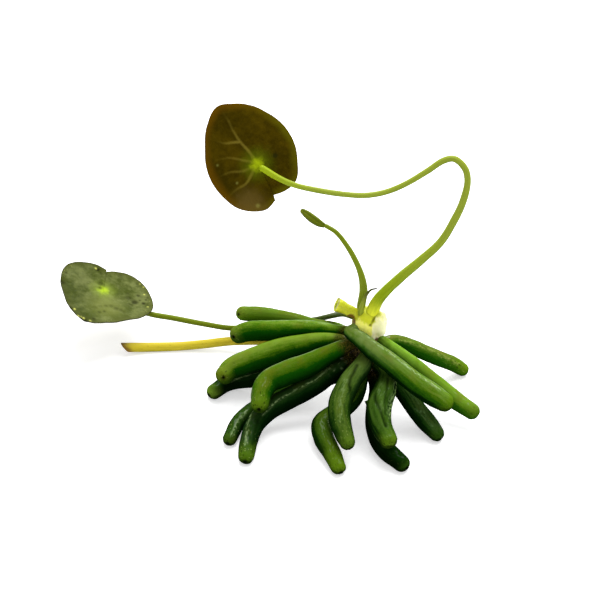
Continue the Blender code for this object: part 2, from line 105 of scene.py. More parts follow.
LONG_STALK = ((1.6, 0.2, 28.0, 1.8), (2.0, 0.2, 31.0, 1.85), (3.2, 0.6, 34.2, 1.7),
              (5.5, 1.2, 37.3, 1.5), (10.0, 2.4, 41.7, 1.4), (15.0, 4.0, 45.8, 1.25),
              (20.5, 6.0, 50.8, 1.15), (24.0, 8.0, 56.6, 1.1), (26.4, 10.0, 62.0, 1.05),
              (27.4, 12.0, 67.2, 0.95), (26.5, 13.2, 70.4, 0.95), (23.5, 14.0, 72.9, 0.9),
              (20.6, 14.0, 72.3, 0.9), (16.3, 13.2, 69.4, 0.85), (10.9, 12.0, 66.3, 0.8),
              (5.5, 11.0, 64.2, 0.8), (0.0, 10.2, 63.5, 0.8), (-5.6, 9.8, 64.0, 0.8),
              (-13.0, 9.9, 65.2, 0.8), (-19.8, 10.8, 66.4, 0.8), (-24.2, 12.2, 67.7, 0.85),
              (-28.8, 14.3, 69.6, 0.9))
LOW_STALK = ((-2.6, 0.8, 28.0, 0.9), (-4.3, 2.6, 27.4, 0.9), (-6.1, 6.0, 25.3, 0.9),
             (-8.6, 11.0, 20.8, 0.85), (-11.2, 14.5, 17.2, 0.8), (-14.1, 17.2, 14.2, 0.8),
             (-21.5, 20.6, 10.4, 0.85), (-29.9, 22.4, 7.8, 0.85), (-39.0, 23.1, 6.2, 0.85),
             (-47.7, 25.6, 5.8, 0.85), (-57.1, 28.2, 6.0, 0.85), (-64.0, 29.4, 6.6, 0.85),
             (-71.5, 30.6, 8.6, 0.85), (-76.8, 32.3, 11.0, 0.85))
OLD_STALK = ((-2.0, 2.8, 9.7, 1.3), (-8.5, 8.0, 8.8, 1.3), (-17.0, 13.8, 7.0, 1.3),
             (-27.5, 18.6, 4.8, 1.3), (-39.1, 20.8, 3.0, 1.35), (-47.3, 20.8, 1.9, 1.35),
             (-54.8, 20.6, 1.2, 1.35), (-63.8, 20.0, 1.3, 1.4), (-71.2, 18.9, 2.1, 1.45))
BUD_STALK = ((-1.2, 2.3, 27.0, 1.2), (-1.2, 2.5, 31.0, 1.25), (-0.7, 2.6, 36.2, 1.2),
             (-1.2, 3.2, 40.4, 1.0), (-2.8, 4.2, 44.9, 0.8), (-5.5, 6.0, 49.4, 0.7),
             (-8.5, 7.8, 52.7, 0.65), (-11.2, 9.1, 53.9, 0.65))
SHEATH = ((-1.2, -0.3, 29.4, 0.85), (-1.4, -0.7, 31.6, 0.85), (-0.8, -0.7, 34.8, 0.65),
          (0.1, -0.3, 37.2, 0.45), (1.3, 0.0, 38.6, 0.28), (2.6, 0.4, 38.7, 0.22))
YOUNG_LEAF = ((-11.7, 9.3, 53.9, 0.65), (-13.2, 9.8, 54.4, 1.05), (-15.2, 10.4, 55.6, 1.2),
              (-16.9, 11.0, 56.8, 1.05), (-17.7, 11.2, 57.4, 0.8))
STUB = ((-0.5, 0.5, 28.4, 1.7), (-3.6, 0.6, 30.1, 1.6), (-6.2, 0.8, 31.6, 1.75), (-8.3, 0.9, 32.8, 2.1))

# The leaves' rims as (degrees in the blade, distance from the stalk), and where each meets its stalk
UPPER_RIM = ((298.3, 9.5), (318, 10.6), (338, 11.6), (364, 11.2), (391, 11.9), (412, 12.9), (440, 14.7),
             (459, 16.8), (472, 18.2), (485, 19.5), (500, 17.8), (522, 15.2), (540, 14.2), (563, 13.4),
             (585, 13.0), (606, 13.2), (624, 13.0), (642, 12.6), (658, 11.0))
LEFT_RIM = ((91.8, 8.7), (112, 11.5), (130, 13.0), (150, 14.0), (184, 13.4), (212, 13.8), (237, 16.0),
            (258, 17.9), (280, 15.8), (304, 14.9), (330, 15.8), (345, 16.1), (370, 14.4), (396, 13.2),
            (417, 11.8), (433, 9.8), (451.5, 8.5))
UPPER_LEAF_PLACE = Matrix.Translation((-30.3, 16.4, 69.5)) @ Matrix.Rotation(math.radians(52.0), 4, "X")
LEFT_LEAF_PLACE = Matrix.Translation((-78.2, 32.6, 13.2)) @ Matrix.Rotation(math.radians(18.0), 4, "Y")


def tint(red: float, green: float, blue: float) -> Colour:
    """A colour as it looks on a screen, 0 to 255, turned to the linear light that shaders use.

    Args:
        red: Red as seen.
        green: Green as seen.
        blue: Blue as seen.

    Returns:
        The colour in linear light, with full alpha.
    """
    seen = [part / 255.0 for part in (red, green, blue)]
    linear = [part / 12.92 if part <= 0.04045 else ((part + 0.055) / 1.055) ** 2.4 for part in seen]
    return (linear[0], linear[1], linear[2], 1.0)


def ramp(value: float, low: float, high: float) -> float:
    """How far a value has come from low to high, eased at both ends.

    Args:
        value: The value to place.
        low: Where the result is 0.
        high: Where the result is 1; it may be below low.

    Returns:
        A number from 0 to 1.
    """
    part = min(1.0, max(0.0, (value - low) / (high - low)))
    return part * part * (3.0 - 2.0 * part)


def between(first: Colour, second: Colour, amount: float) -> Colour:
    """A plain blend of two colours."""
    return tuple(a + (b - a) * amount for a, b in zip(first, second))


def hump(distance: float, width: float) -> float:
    """A soft hump: 1 at no distance, about a third at one width."""
    return math.exp(-(distance / width) ** 2)


def drawn_out(place: Vector, across: float, along: float) -> Vector:
    """A place scaled across and along a piece, so that noise read there is drawn out lengthwise."""
    return Vector((place.x * across, place.y * across, place.z * along))


def hermite(t: float, start: Any, leave: Any, end: Any, arrive: Any) -> Any:
    """A place on a smooth curve between two ends, which are both numbers or both vectors.

    Args:
        t: How far along the place is, from 0 to 1.
        start: The first end.
        leave: How the curve leaves it.
        end: The other end.
        arrive: How the curve comes to it.

    Returns:
        The place.
    """
    return ((2 * t**3 - 3 * t**2 + 1) * start + (t**3 - 2 * t**2 + t) * leave
            + (3 * t**2 - 2 * t**3) * end + (t**3 - t**2) * arrive)


def smooth_route(points: Sequence[Row], spacing: float) -> list[tuple[Vector, float]]:
    """A smooth curve through given points.

    Args:
        points: Rows of x, y, z and half thickness.
        spacing: The distance wanted between the points of the result.

    Returns:
        Evenly spaced pairs of place and half thickness.
    """
    rows = [Vector(point) for point in points]
    rows = [rows[0] * 2 - rows[1], *rows, rows[-1] * 2 - rows[-2]]
    fine: list[Vector] = []
    for before, start, end, after in zip(rows, rows[1:], rows[2:], rows[3:]):
        first, middle, last = ((b - a).length ** 0.5
                               for a, b in ((before, start), (start, end), (end, after)))
        chord = (end - start) / middle
        leave = ((start - before) / first - (end - before) / (first + middle) + chord) * middle
        arrive = (chord - (after - start) / (middle + last) + (after - end) / last) * middle
        fine += [hermite(step / ROUTE_STEPS, start, leave, end, arrive) for step in range(ROUTE_STEPS)]
    fine.append(rows[-2])
    lengths = [0.0]
    for here, there in zip(fine, fine[1:]):
        lengths.append(lengths[-1] + (there - here).to_3d().length)
    count = max(2, round(lengths[-1] / spacing))
    route: list[tuple[Vector, float]] = []
    index = 0
    for step in range(count + 1):
        wanted = lengths[-1] * step / count
        while index < len(fine) - 2 and lengths[index + 1] < wanted:
            index += 1
        part = (wanted - lengths[index]) / (lengths[index + 1] - lengths[index])
        point = fine[index].lerp(fine[index + 1], part)
        route.append((point.to_3d(), point.w))
    return route


def middle_line(points: Sequence[Row], spacing: float) -> list[Vector]:
    """The places of a smooth route, without the thickness there."""
    return [place for place, _ in smooth_route(points, spacing)]


def line_distance(place: Vector, points: Sequence[Vector]) -> float:
    """The distance from a place to the nearest stretch of a line.

    Args:
        place: Where to measure from.
        points: The line's corners.

    Returns:
        The distance in millimetres.
    """
    nearest = math.inf
    for start, end in zip(points, points[1:]):
        span = end - start
        part = min(1.0, max(0.0, (place - start).dot(span) / span.length_squared))
        nearest = min(nearest, (place - start - span * part).length)
    return nearest


class Value:
    """One number, colour or vector of a finish, as the socket that gives it."""

    def __init__(self, graph: "Graph", socket: bpy.types.NodeSocket) -> None:
        """Keep the socket and the graph that it belongs to.

        Args:
            graph: The finish's nodes.
            socket: The output that gives the value.
        """
        self.graph = graph
        self.socket = socket

    def _math(self, operation: str, first: "Input", second: "Input") -> "Value":
        """Add one Math node.

        Args:
            operation: The node's operation.
            first: Its first number.
            second: Its second number.

        Returns:
            The result.
        """
        return self.graph.node("ShaderNodeMath", {"operation": operation}, {0: first, 1: second})

    def __add__(self, other: "Input") -> "Value":
        """Sum."""
        return self._math("ADD", self, other)

    __radd__ = __add__

    def __sub__(self, other: "Input") -> "Value":
        """Difference."""
        return self._math("SUBTRACT", self, other)

    def __rsub__(self, other: "Input") -> "Value":
        """Difference from a plain number."""
        return self._math("SUBTRACT", other, self)

    def __mul__(self, other: "Input") -> "Value":
        """Product."""
        return self._math("MULTIPLY", self, other)

    __rmul__ = __mul__

    def __truediv__(self, other: "Input") -> "Value":
        """Quotient."""
        return self._math("DIVIDE", self, other)

    def swing(self, width: "Input") -> "Value":
        """Noise about a half, turned to a swing of this width about nothing."""
        return (self - 0.5) * width


Input = Union[Value, float, tuple]


class Graph:
    """The nodes of one finish."""

    def __init__(self, name: str) -> None:
        """Start a material that holds nothing but its shader.

        Args:
            name: The finish's name.
        """
        self.material = bpy.data.materials.new(name)
        self.material.use_nodes = True
        self.tree = self.material.node_tree
        self.tree.nodes.clear()
        self.shader = self.tree.nodes.new("ShaderNodeBsdfPrincipled")
        output = self.tree.nodes.new("ShaderNodeOutputMaterial")
        self.tree.links.new(self.shader.outputs[0], output.inputs[0])
        self._place: Optional[Value] = None

    def plug(self, socket: bpy.types.NodeSocket, given: Input) -> None:
        """Link a socket to a value, or set it to a plain number, colour or vector.

        Args:
            socket: The socket.
            given: What it gets.
        """
        if isinstance(given, Value):
            self.tree.links.new(given.socket, socket)
        else:
            socket.default_value = given

    def node(self, kind: str, settings: Optional[dict[str, Any]] = None,
             inputs: Optional[dict[Union[int, str], Input]] = None, output: Union[int, str] = 0) -> Value:
        """Add any node.

        Args:
            kind: The node's type.
            settings: Its own properties, set before its sockets.
            inputs: Values or links by socket.
            output: Which output to give back.

        Returns:
            That output.
        """
        made = self.tree.nodes.new(kind)
        for name, setting in (settings or {}).items():
            if name == "stops":
                places = made.color_ramp.elements
                for _ in setting[2:]:
                    places.new(0.5)
                for stop, (where, colour) in zip(places, setting):
                    stop.position, stop.color = where, colour
            else:
                setattr(made, name, setting)
        for name, given in (inputs or {}).items():
            self.plug(made.inputs[name], given)
        return Value(self, made.outputs[output])

    def place(self) -> Value:
        """The place on the object, read once for the whole finish.

        Returns:
            The place in millimetres.
        """
        if self._place is None:
            metres = self.node("ShaderNodeTexCoord", output="Object")
            self._place = self.lighter(metres, 1.0 / MM)
        return self._place

    def number(self, name: str) -> Value:
        """A number that the mesh carries."""
        return self.node("ShaderNodeAttribute", {"attribute_name": name}, output="Fac")

    def vector(self, name: str) -> Value:
        """A vector that the mesh carries."""
        return self.node("ShaderNodeAttribute", {"attribute_name": name}, output="Vector")

    def stretched(self, where: Value, across: float, along: float) -> Value:
        """Coordinates scaled by one number across a piece and another along it."""
        return self.node("ShaderNodeVectorMath", {"operation": "MULTIPLY"},
                         {0: where, 1: (across, across, along)})

    def cloud(self, where: Value, scale: float, detail: float = 3.0, rough: float = 0.55,
              twist: float = 0.0) -> Value:
        """Soft noise about a half.

        Args:
            where: The coordinates to read.
            scale: Features per unit.
            detail: Octaves.
            rough: How strong the fine octaves are.
            twist: How far it is distorted.

        Returns:
            The noise, from 0 to 1.
        """
        return self.node("ShaderNodeTexNoise", {}, {"Vector": where, "Scale": scale, "Detail": detail,
                                                    "Roughness": rough, "Distortion": twist})

    def cells(self, where: Value, scale: float, feature: str = "F1") -> Value:
        """Distances in a pattern of cells.

        Args:
            where: The coordinates to read.
            scale: Cells per unit.
            feature: Which distance is given.

        Returns:
            The distance.
        """
        return self.node("ShaderNodeTexVoronoi", {"feature": feature}, {"Vector": where, "Scale": scale},
                         "Distance")

    def ease(self, value: Input, low: float, high: float, start: float = 0.0, end: float = 1.0) -> Value:
        """A value eased from one range to another.

        Args:
            value: The value to place.
            low: Where the result is start.
            high: Where the result is end.
            start: The result at low.
            end: The result at high.

        Returns:
            The eased value.
        """
        return self.node("ShaderNodeMapRange", {"interpolation_type": "SMOOTHSTEP"},
                         {0: value, 1: low, 2: high, 3: start, 4: end})

    def mix(self, first: Input, second: Input, amount: Input) -> Value:
        """A blend of two colours.

        Args:
            first: The colour at 0.
            second: The colour at 1.
            amount: How much of the second.

        Returns:
            The blended colour.
        """
        return self.node("ShaderNodeMix", {"data_type": "RGBA"}, {0: amount, 6: first, 7: second}, 2)

    def shades(self, value: Value, low: float, high: float, stops: Sequence[tuple[float, Colour]]) -> Value:
        """Colours that follow one another as a value rises.

        Args:
            value: The value to follow.
            low: The value at the start of the range.
            high: The value at its end.
            stops: Each colour and the value at which it stands, in order.

        Returns:
            The colour.
        """
        rows = tuple(((where - low) / (high - low), colour) for where, colour in stops)
        return self.node("ShaderNodeValToRGB", {"stops": rows}, {0: (value - low) / (high - low)})

    def lighter(self, colour: Input, by: Input) -> Value:
        """A colour made lighter or darker by a factor, or a place brought to another scale."""
        return self.node("ShaderNodeVectorMath", {"operation": "SCALE"}, {0: colour, "Scale": by})

    def bump(self, height: Value, depth: float, strength: float = 1.0,
             under: Optional[Value] = None) -> Value:
        """Fine relief in the shading.

        Args:
            height: The height, about 0 to 1.
            depth: What a height of 1 stands for, in millimetres.
            strength: How much of it shows.
            under: Relief that it lies on.

        Returns:
            The normal.
        """
        inputs: dict[Union[int, str], Input] = {"Height": height, "Distance": depth * MM,
                                                "Strength": strength}
        if under is not None:
            inputs["Normal"] = under
        return self.node("ShaderNodeBump", {}, inputs)

    def finished(self, **sockets: Input) -> bpy.types.Material:
        """Give the shader its sockets and hand over the material.

        Args:
            sockets: What each socket gets, by its name with underscores for spaces.

        Returns:
            The material.
        """
        for name, given in sockets.items():
            self.plug(self.shader.inputs[name.replace("_", " ")], given)
        return self.material


@dataclass(frozen=True)
class TuberSkin:
    """Wet tuber skin: lit green crest, deep green flank and near-black belly as painted light and shade, fine
    pale pimples at the tip.
    """

    crest: Colour = tint(90, 122, 30)
    mid: Colour = tint(64, 102, 8)
    flank: Colour = tint(16, 70, 3)
    belly: Colour = tint(4, 30, 2)
    tip: Colour = tint(96, 120, 26)
    lift: float = 0.0
    tip_reach: float = 7.0
    pimples: float = 0.5
    pimple_reach: float = 9.0
    bloom: float = 0.0
    bloom_tone: Colour = tint(118, 142, 94)
    rust: float = 0.15
    streak: float = 0.5
    soil: float = 0.8
    soil_reach: float = 6.0
    wet: float = 0.5
    bands: tuple[float, ...] = (-0.75, 0.05, 0.52, 0.82, 1.02)
    shadow: float = 0.35
    rim_highlight: float = 0.0
    ridge_glint_tone: Colour = tint(140, 164, 108)
    rust_tone: Colour = tint(92, 92, 18)
    rim_highlight_tone: Colour = tint(128, 152, 108)
    dot_tone: Colour = tint(158, 176, 92)
    fleck_tone: Colour = tint(24, 36, 5)
    crease_tone: Colour = tint(8, 28, 3)
    soil_tones: tuple[Colour, Colour] = (tint(26, 22, 6), tint(86, 70, 28))
    scar_tone: Colour = tint(4, 5, 2)

    def material(self, name: str) -> bpy.types.Material:
        """Make the finish for one tuber.

        Args:
            name: The tuber's name.

        Returns:
            Its material.
        """
        g = Graph(name + "_skin")
        skin, place = g.vector("skin"), g.place()
        up, tip, root, back = g.number("up"), g.number("tip"), g.number("root"), g.number("back")
        hollow, crease, ridge_glint = g.number("hollow"), g.number("crease"), g.number("pale")
        fibres = g.cloud(g.stretched(skin, 1.5, 0.14), 1.0, 4.0, 0.6)
        mottle = g.cloud(place, 0.30, 3.0)
        grain = g.cloud(place, 2.6, 3.0, 0.6)
        # Painted light and shade: the colour steps from the near-black belly to the lit crest as the skin
        # turns to face up.
        lit_tone = (up + self.lift + fibres.swing(1.1 * self.streak) + mottle.swing(0.35)
                + grain.swing(0.42))
        tones = (self.belly, between(self.belly, self.flank, 0.5), self.flank, self.mid, self.crest)
        colour = g.shades(lit_tone, -1.2, 1.2, tuple(zip(self.bands, tones)))
        # Painted shade on the side that faces away, by the shadow share.
        far_side = back + fibres.swing(0.4)
        colour = g.lighter(colour, 1.0 - g.ease(far_side, 0.25, 0.7) * self.shadow)
        rusty = g.ease(lit_tone, 0.6, 0.95) * g.ease(g.cloud(place, 0.2, 2.0), 0.44, 0.66) * self.rust
        colour = g.mix(colour, self.rust_tone, rusty)
        bloomy = g.ease(up, 0.0, 0.8) * g.ease(root, 24.0, 5.0) * g.ease(mottle, 0.25, 0.6) * self.bloom
        colour = g.mix(colour, self.bloom_tone, bloomy)
        # Painted highlight: a pale reflection along the upper edge of the side that faces away.
        rim_highlight = g.ease(far_side, 0.2, 0.5) * g.ease(up, 0.3, 0.65) * g.ease(mottle, 0.3, 0.5, 0.5, 1.0)
        colour = g.mix(colour, self.rim_highlight_tone, rim_highlight * self.rim_highlight)
        at_tip = g.ease(tip + mottle.swing(3.0), self.tip_reach, 0.8)
        colour = g.mix(colour, self.tip, at_tip * g.ease(lit_tone, -0.3, 0.6, 0.1, 0.85))
        # Pale pimples near the tip: partly their own pale colour, partly painted highlight that is stronger
        # on the side facing up.
        dots = g.cells(g.stretched(skin, 1.0, 0.7), 1.3)
        near_tip = g.ease(tip, self.pimple_reach, 1.0)
        lit = g.ease(up, -0.3, 0.7, 0.15, 1.0)
        pale = g.ease(dots, 0.30, 0.12) * near_tip * g.ease(grain, 0.44, 0.58)
        colour = g.mix(colour, self.dot_tone, pale * (0.7 * self.pimples) * lit)
        flecks = g.ease(g.cells(g.stretched(skin, 1.0, 0.42), 1.25), 0.33, 0.14) * near_tip
        colour = g.mix(colour, self.fleck_tone, flecks * (0.8 * self.pimples))
        streaks = g.cloud(g.stretched(skin, 2.2, 0.7), 1.0, 3.0)
        # Painted shade: darker in the creases and in the bands along dark flanks that the crease mask marks.
        colour = g.mix(colour, self.crease_tone, crease * g.ease(streaks, 0.25, 0.5, 0.6, 1.0))
        # Painted highlight: pale glints along the lines of the pale mask, broken up by streaks and dots.
        glints = g.ease(streaks, 0.42, 0.58) * 0.65 + g.ease(dots, 0.44, 0.20) * 0.5
        colour = g.mix(colour, self.ridge_glint_tone, ridge_glint * glints)
        soil = g.ease(root + mottle.swing(5.0), self.soil_reach, self.soil_reach - 3.4) * self.soil
        colour = g.mix(colour, g.mix(*self.soil_tones, g.ease(grain, 0.4, 0.65)), soil)
        colour = g.mix(colour, self.scar_tone, hollow)
        fine = g.ease(dots, 0.34, 0.05) * (near_tip * 0.9 + 0.1)
        relief = g.bump(fine, 0.12, 0.4 + 0.6 * self.pimples)
        relief = g.bump(fibres, 0.30, 0.35 * (0.4 + self.streak), relief)
        relief = g.bump(grain, 0.10, 0.35, relief)
        rough = 0.42 + fibres.swing(0.2) + soil * 0.2
        water = g.ease(lit_tone, 0.5, 1.0) * g.ease(streaks, 0.50, 0.64) * (1.0 - soil) * (1.0 - crease)
        return g.finished(Base_Color=colour, Roughness=rough, Normal=relief, Specular_IOR_Level=0.0,
                          Coat_Weight=water * self.wet, Coat_Roughness=0.16, Coat_IOR=WATER)


@dataclass(frozen=True)
class StalkSkin:
    """Smooth stalk with fine lengthwise fibres, whose colour changes from the crown to the far end, with
    painted shade below and on the far side.
    """

    near: Colour
    far: Colour
    under: Colour
    speck_and_shade: Colour
    flecks: float = 0.25
    change: tuple[float, float] = (0.1, 0.9)
    tip: Colour = tint(133, 113, 76)
    tip_reach: float = 0.0
    base: Colour = tint(204, 212, 60)
    base_reach: float = 0.0
    bore_tone: Colour = tint(44, 34, 16)
    gloss: float = 0.36
    coat: float = 0.15
    far_side: float = 0.5

    def material(self, name: str) -> bpy.types.Material:
        """Make the finish for one stalk.

        Args:
            name: The stalk's name.

        Returns:
            Its material.
        """
        g = Graph(name + "_skin")
        skin, place = g.vector("skin"), g.place()
        up, tip, part, hollow = g.number("up"), g.number("tip"), g.number("part"), g.number("hollow")
        fibres = g.cloud(g.stretched(skin, 4.0, 0.18), 1.0, 4.0, 0.6)
        mottle = g.cloud(g.stretched(skin, 1.0, 0.35), 0.9, 3.0)
        grain = g.cloud(place, 3.2, 3.0, 0.6)
        colour = g.mix(self.near, self.far, g.ease(part + mottle.swing(0.1), *self.change))
        # Painted shade: darker on the side that faces down and on the side that faces away.
        shade = up + fibres.swing(1.0) + mottle.swing(0.7)
        colour = g.mix(self.under, colour, g.ease(shade, -0.95, 0.45))
        behind = g.ease(g.number("back") + fibres.swing(0.3), 0.35, 0.75) * self.far_side
        colour = g.mix(colour, self.speck_and_shade, behind)
        if self.base_reach:
            low = g.ease(g.number("root") + mottle.swing(3.0), self.base_reach, 0.6)
            colour = g.mix(colour, self.base, low)
        colour = g.lighter(colour, 0.82 + fibres * 0.36)
        dots = g.cells(g.stretched(skin, 1.0, 0.55), 1.1)
        dots = g.ease(dots, 0.24, 0.08) * g.ease(grain, 0.42, 0.6)
        colour = g.mix(colour, self.speck_and_shade, dots * self.flecks)
        if self.tip_reach:
            withered = g.ease(tip + mottle.swing(2.2), self.tip_reach, 0.2)
            colour = g.mix(colour, self.tip, withered * 0.9)
        colour = g.mix(colour, self.bore_tone, hollow)
        relief = g.bump(fibres, 0.16, 0.5)
        relief = g.bump(grain, 0.05, 0.3, relief)
        shine = self.gloss + fibres.swing(0.2) + mottle.swing(0.1)
        return g.finished(Base_Color=colour, Roughness=shine, Normal=relief, Specular_IOR_Level=0.03,
                          Coat_Weight=g.ease(shade, 0.2, 1.0) * self.coat, Coat_Roughness=0.25,
                          Coat_IOR=WATER)


@dataclass(frozen=True)
class BladeFace:
    """One side of a leaf: mottled ground, veins, a margin of its own colour and a glow round the stalk."""

    ground: Colour
    patch: Colour
    margin: Colour
    margin_far: Colour
    vein: Colour
    glow: Colour
    lobe: Colour = tint(98, 98, 40)
    halo: Colour = tint(88, 104, 12)
    halo_reach: float = 5.0
    glow_reach: float = 4.5
    margin_reach: float = 2.4
    vein_strength: float = 0.7
    net: float = 0.2
    lobe_at: tuple[float, float, float] = (0.0, 0.0, 0.0)
    lobe_reach: float = 0.0
    gloss: float = 0.45
    sheen: float = 0.05
    pocks: float = 0.0
    far_shade: float = 0.0
    rim_line: Colour = tint(70, 62, 14)
    pock_tone: Colour = tint(52, 56, 14)
    speck_tone: Colour = tint(168, 172, 84)
    pit_tone: Colour = tint(30, 32, 8)
    gold_tone: Colour = tint(190, 192, 96)

    def material(self, name: str) -> bpy.types.Material:
        """Make the finish for one side of one leaf.

        Args:
            name: The name of the leaf and the side.

        Returns:
            Its material.
        """
        g = Graph(name)
        blade = g.vector("blade")
        rim, hub, vein = g.number("rim"), g.number("hub"), g.number("vein")
        pit, gold = g.number("pit"), g.number("gold")
        broad = g.cloud(blade, 0.13, 2.0, 0.5, 0.4)
        mottle = g.cloud(blade, 0.55, 4.0, 0.6)
        grain = g.cloud(blade, 3.4, 3.0, 0.6)
        colour = g.mix(self.ground, self.patch, g.ease(broad + mottle.swing(0.5), 0.32, 0.70))
        colour = g.lighter(colour, 0.80 + mottle * 0.4)
        net = g.ease(g.cells(blade, 0.75, "DISTANCE_TO_EDGE"), 0.09, 0.0)
        colour = g.mix(colour, self.vein, net * self.net)
        across = g.node("ShaderNodeSeparateXYZ", {}, {0: blade}, 0)
        colour = g.lighter(colour, 1.0 - self.far_shade + g.ease(across, -8.0, 0.0) * self.far_shade)
        edge = g.mix(self.margin_far, self.margin, g.ease(across, -9.0, 9.0))
        colour = g.mix(colour, edge, g.ease(rim + broad.swing(3.0), self.margin_reach, 0.0) * 0.8)
        if self.lobe_reach:
            off = g.node("ShaderNodeVectorMath", {"operation": "DISTANCE"}, {0: blade, 1: self.lobe_at},
                         "Value")
            colour = g.mix(colour, self.lobe, g.ease(off + mottle.swing(5.0), self.lobe_reach, 1.0) * 0.75)
        veined = g.ease(vein + mottle.swing(0.3), 0.15, 0.95) * self.vein_strength
        colour = g.mix(colour, self.vein, veined)
        ragged = g.cloud(blade, 0.7, 3.0, 0.5, 0.6).swing(2.4)
        colour = g.mix(colour, self.halo, g.ease(hub + ragged, self.halo_reach, 0.8) * 0.75)
        colour = g.mix(colour, self.glow, g.ease(hub + ragged, self.glow_reach, 0.3) * 0.9)
        pocked = g.ease(g.cells(blade, 1.05), 0.30, 0.12) * g.ease(rim, 3.2, 1.2)
        colour = g.mix(colour, self.pock_tone, pocked * g.ease(broad, 0.44, 0.60) * self.pocks)
        specks = g.ease(g.cells(blade, 1.45), 0.20, 0.08) * g.ease(rim, 2.6, 0.8)
        colour = g.mix(colour, self.speck_tone, specks * g.ease(broad, 0.46, 0.60) * self.pocks)
        colour = g.mix(colour, self.rim_line, g.ease(rim, 0.32, 0.10) * 0.8)
        colour = g.mix(colour, self.pit_tone, pit)
        colour = g.mix(colour, self.gold_tone, gold)
        relief = g.bump(mottle, 0.22, 0.35)
        relief = g.bump(net, 0.10, 0.3, relief)
        relief = g.bump(grain, 0.05, 0.35, relief)
        shine = self.gloss + mottle.swing(0.25) + pit * 0.2
        return g.finished(Base_Color=colour, Roughness=shine, Normal=relief, Specular_IOR_Level=self.sheen)


@dataclass(frozen=True)
class CrownFlesh:
    """Pale crown: cream lump, yellow-green neck, brown stains, olive folds with painted shade, and dark soil
    between the tubers with painted glints.
    """

    cream: Colour = tint(255, 250, 196)
    lump_top: Colour = tint(240, 246, 140)
    neck: Colour = tint(254, 250, 122)
    lime: Colour = tint(206, 212, 44)
    fold: Colour = tint(122, 122, 12)
    stain: Colour = tint(96, 60, 16)
    bark: Colour = tint(88, 72, 30)
    soil: Colour = tint(20, 16, 8)
    cut: Colour = tint(150, 150, 84)
    inside: Colour = tint(150, 160, 52)
    soil_glint: Colour = tint(150, 146, 120)
    top_from: float = 29.2
    top_to: float = 32.2
    soil_from: float = 24.6
    soil_to: float = 21.6

    def material(self, name: str) -> bpy.types.Material:
        """Make the crown's finish.

        Args:
            name: The crown's name.

        Returns:
            Its material.
        """
        g = Graph(name + "_flesh")
        place = g.place()
        lump, lime, stain, fold = g.number("lump"), g.number("lime"), g.number("stain"), g.number("fold")
        cut, hollow, high = g.number("cut"), g.number("hollow"), g.number("high")
        mottle = g.cloud(place, 0.55, 4.0)
        grain = g.cloud(place, 2.4, 4.0, 0.65)
        fibres = g.cloud(g.stretched(place, 2.2, 0.4), 1.0, 4.0, 0.6)
        lime = lime + mottle.swing(0.5) + fibres.swing(0.9)
        colour = g.mix(self.neck, self.lime, g.ease(lime, 0.25, 0.8))
        top = g.ease(high + mottle.swing(3.0), self.top_from, self.top_to)
        pale = g.mix(self.cream, self.lump_top, top)
        colour = g.mix(colour, pale, g.ease(lump + mottle.swing(0.9), 0.15, 0.80))
        colour = g.lighter(colour, 0.90 + fibres * 0.2)
        earth = g.mix(self.soil, self.bark, g.ease(grain, 0.42, 0.66))
        low = g.ease(high + mottle.swing(4.5), self.soil_from, self.soil_to)
        colour = g.mix(colour, earth, low)
        # Painted glints: small pale specks on the dark soil low on the crown.
        soil_glint = g.ease(g.cells(place, 1.1), 0.13, 0.05) * low
        colour = g.mix(colour, self.soil_glint, soil_glint * 0.6)
        # Olive along the folds, the stub and its mouth, with painted shade in the creases and under the stub.
        colour = g.mix(colour, self.fold, g.ease(fold + grain.swing(0.3), 0.2, 0.8) * 0.9)
        colour = g.mix(colour, self.stain, g.ease(stain + grain.swing(0.6), 0.25, 0.8) * 0.9)
        colour = g.mix(colour, self.inside, g.ease(hollow, 0.3, 0.8))
        colour = g.mix(colour, self.cut, g.ease(cut + grain.swing(0.5), 0.35, 0.8))
        relief = g.bump(fibres, 0.25, 0.35)
        relief = g.bump(grain, 0.20, 0.30, relief)
        rough = 0.46 + mottle.swing(0.2) + low * 0.2
        return g.finished(Base_Color=colour, Roughness=rough, Normal=relief, Specular_IOR_Level=0.12,
                          Subsurface_Weight=0.6, Subsurface_Radius=(1.0, 0.95, 0.6),
                          Subsurface_Scale=3.0 * MM)


class End(Enum):
    """How the far end of a tube is closed."""

    ROUND = "a round end, with the tube's own thickness"
    HOLLOW = "cut across, with a hollow inside"
    TAPER = "drawn in to a point"


@dataclass
class Station:
    """One ring of a tube."""

    middle: Vector
    radius: float
    along: float
    lean: float = 0.0
    hollow: float = 0.0
    ahead: Vector = field(default_factory=Vector)
    side: Vector = field(default_factory=Vector)
    rise: Vector = field(default_factory=Vector)


@dataclass(frozen=True)
class Groove:
    """A crease, or with a depth below nothing a raised line, that runs along a line on the surface; on a
    tuber the crease mask paints shade there and the pale mask a highlight.
    """

    points: tuple[tuple[float, float, float], ...]
    width: float
    depth: float
    shade: float = 1.0
    mask: str = "crease"

    @cached_property
    def line(self) -> list[Vector]:
        """The line's corners as vectors."""
        return [Vector(point) for point in self.points]


@dataclass(frozen=True)
class Spot:
    """A small round mark on a surface: how deep it goes in, and which of the piece's masks it paints."""

    at: tuple[float, float, float]
    radius: float
    depth: float
    mask: str
    strength: float = 1.0


def number_layers(shape: bmesh.types.BMesh, *names: str) -> dict[str, Any]:
    """New layers by name, each of which holds one number for every point of a shape."""
    return {name: shape.verts.layers.float.new(name) for name in names}


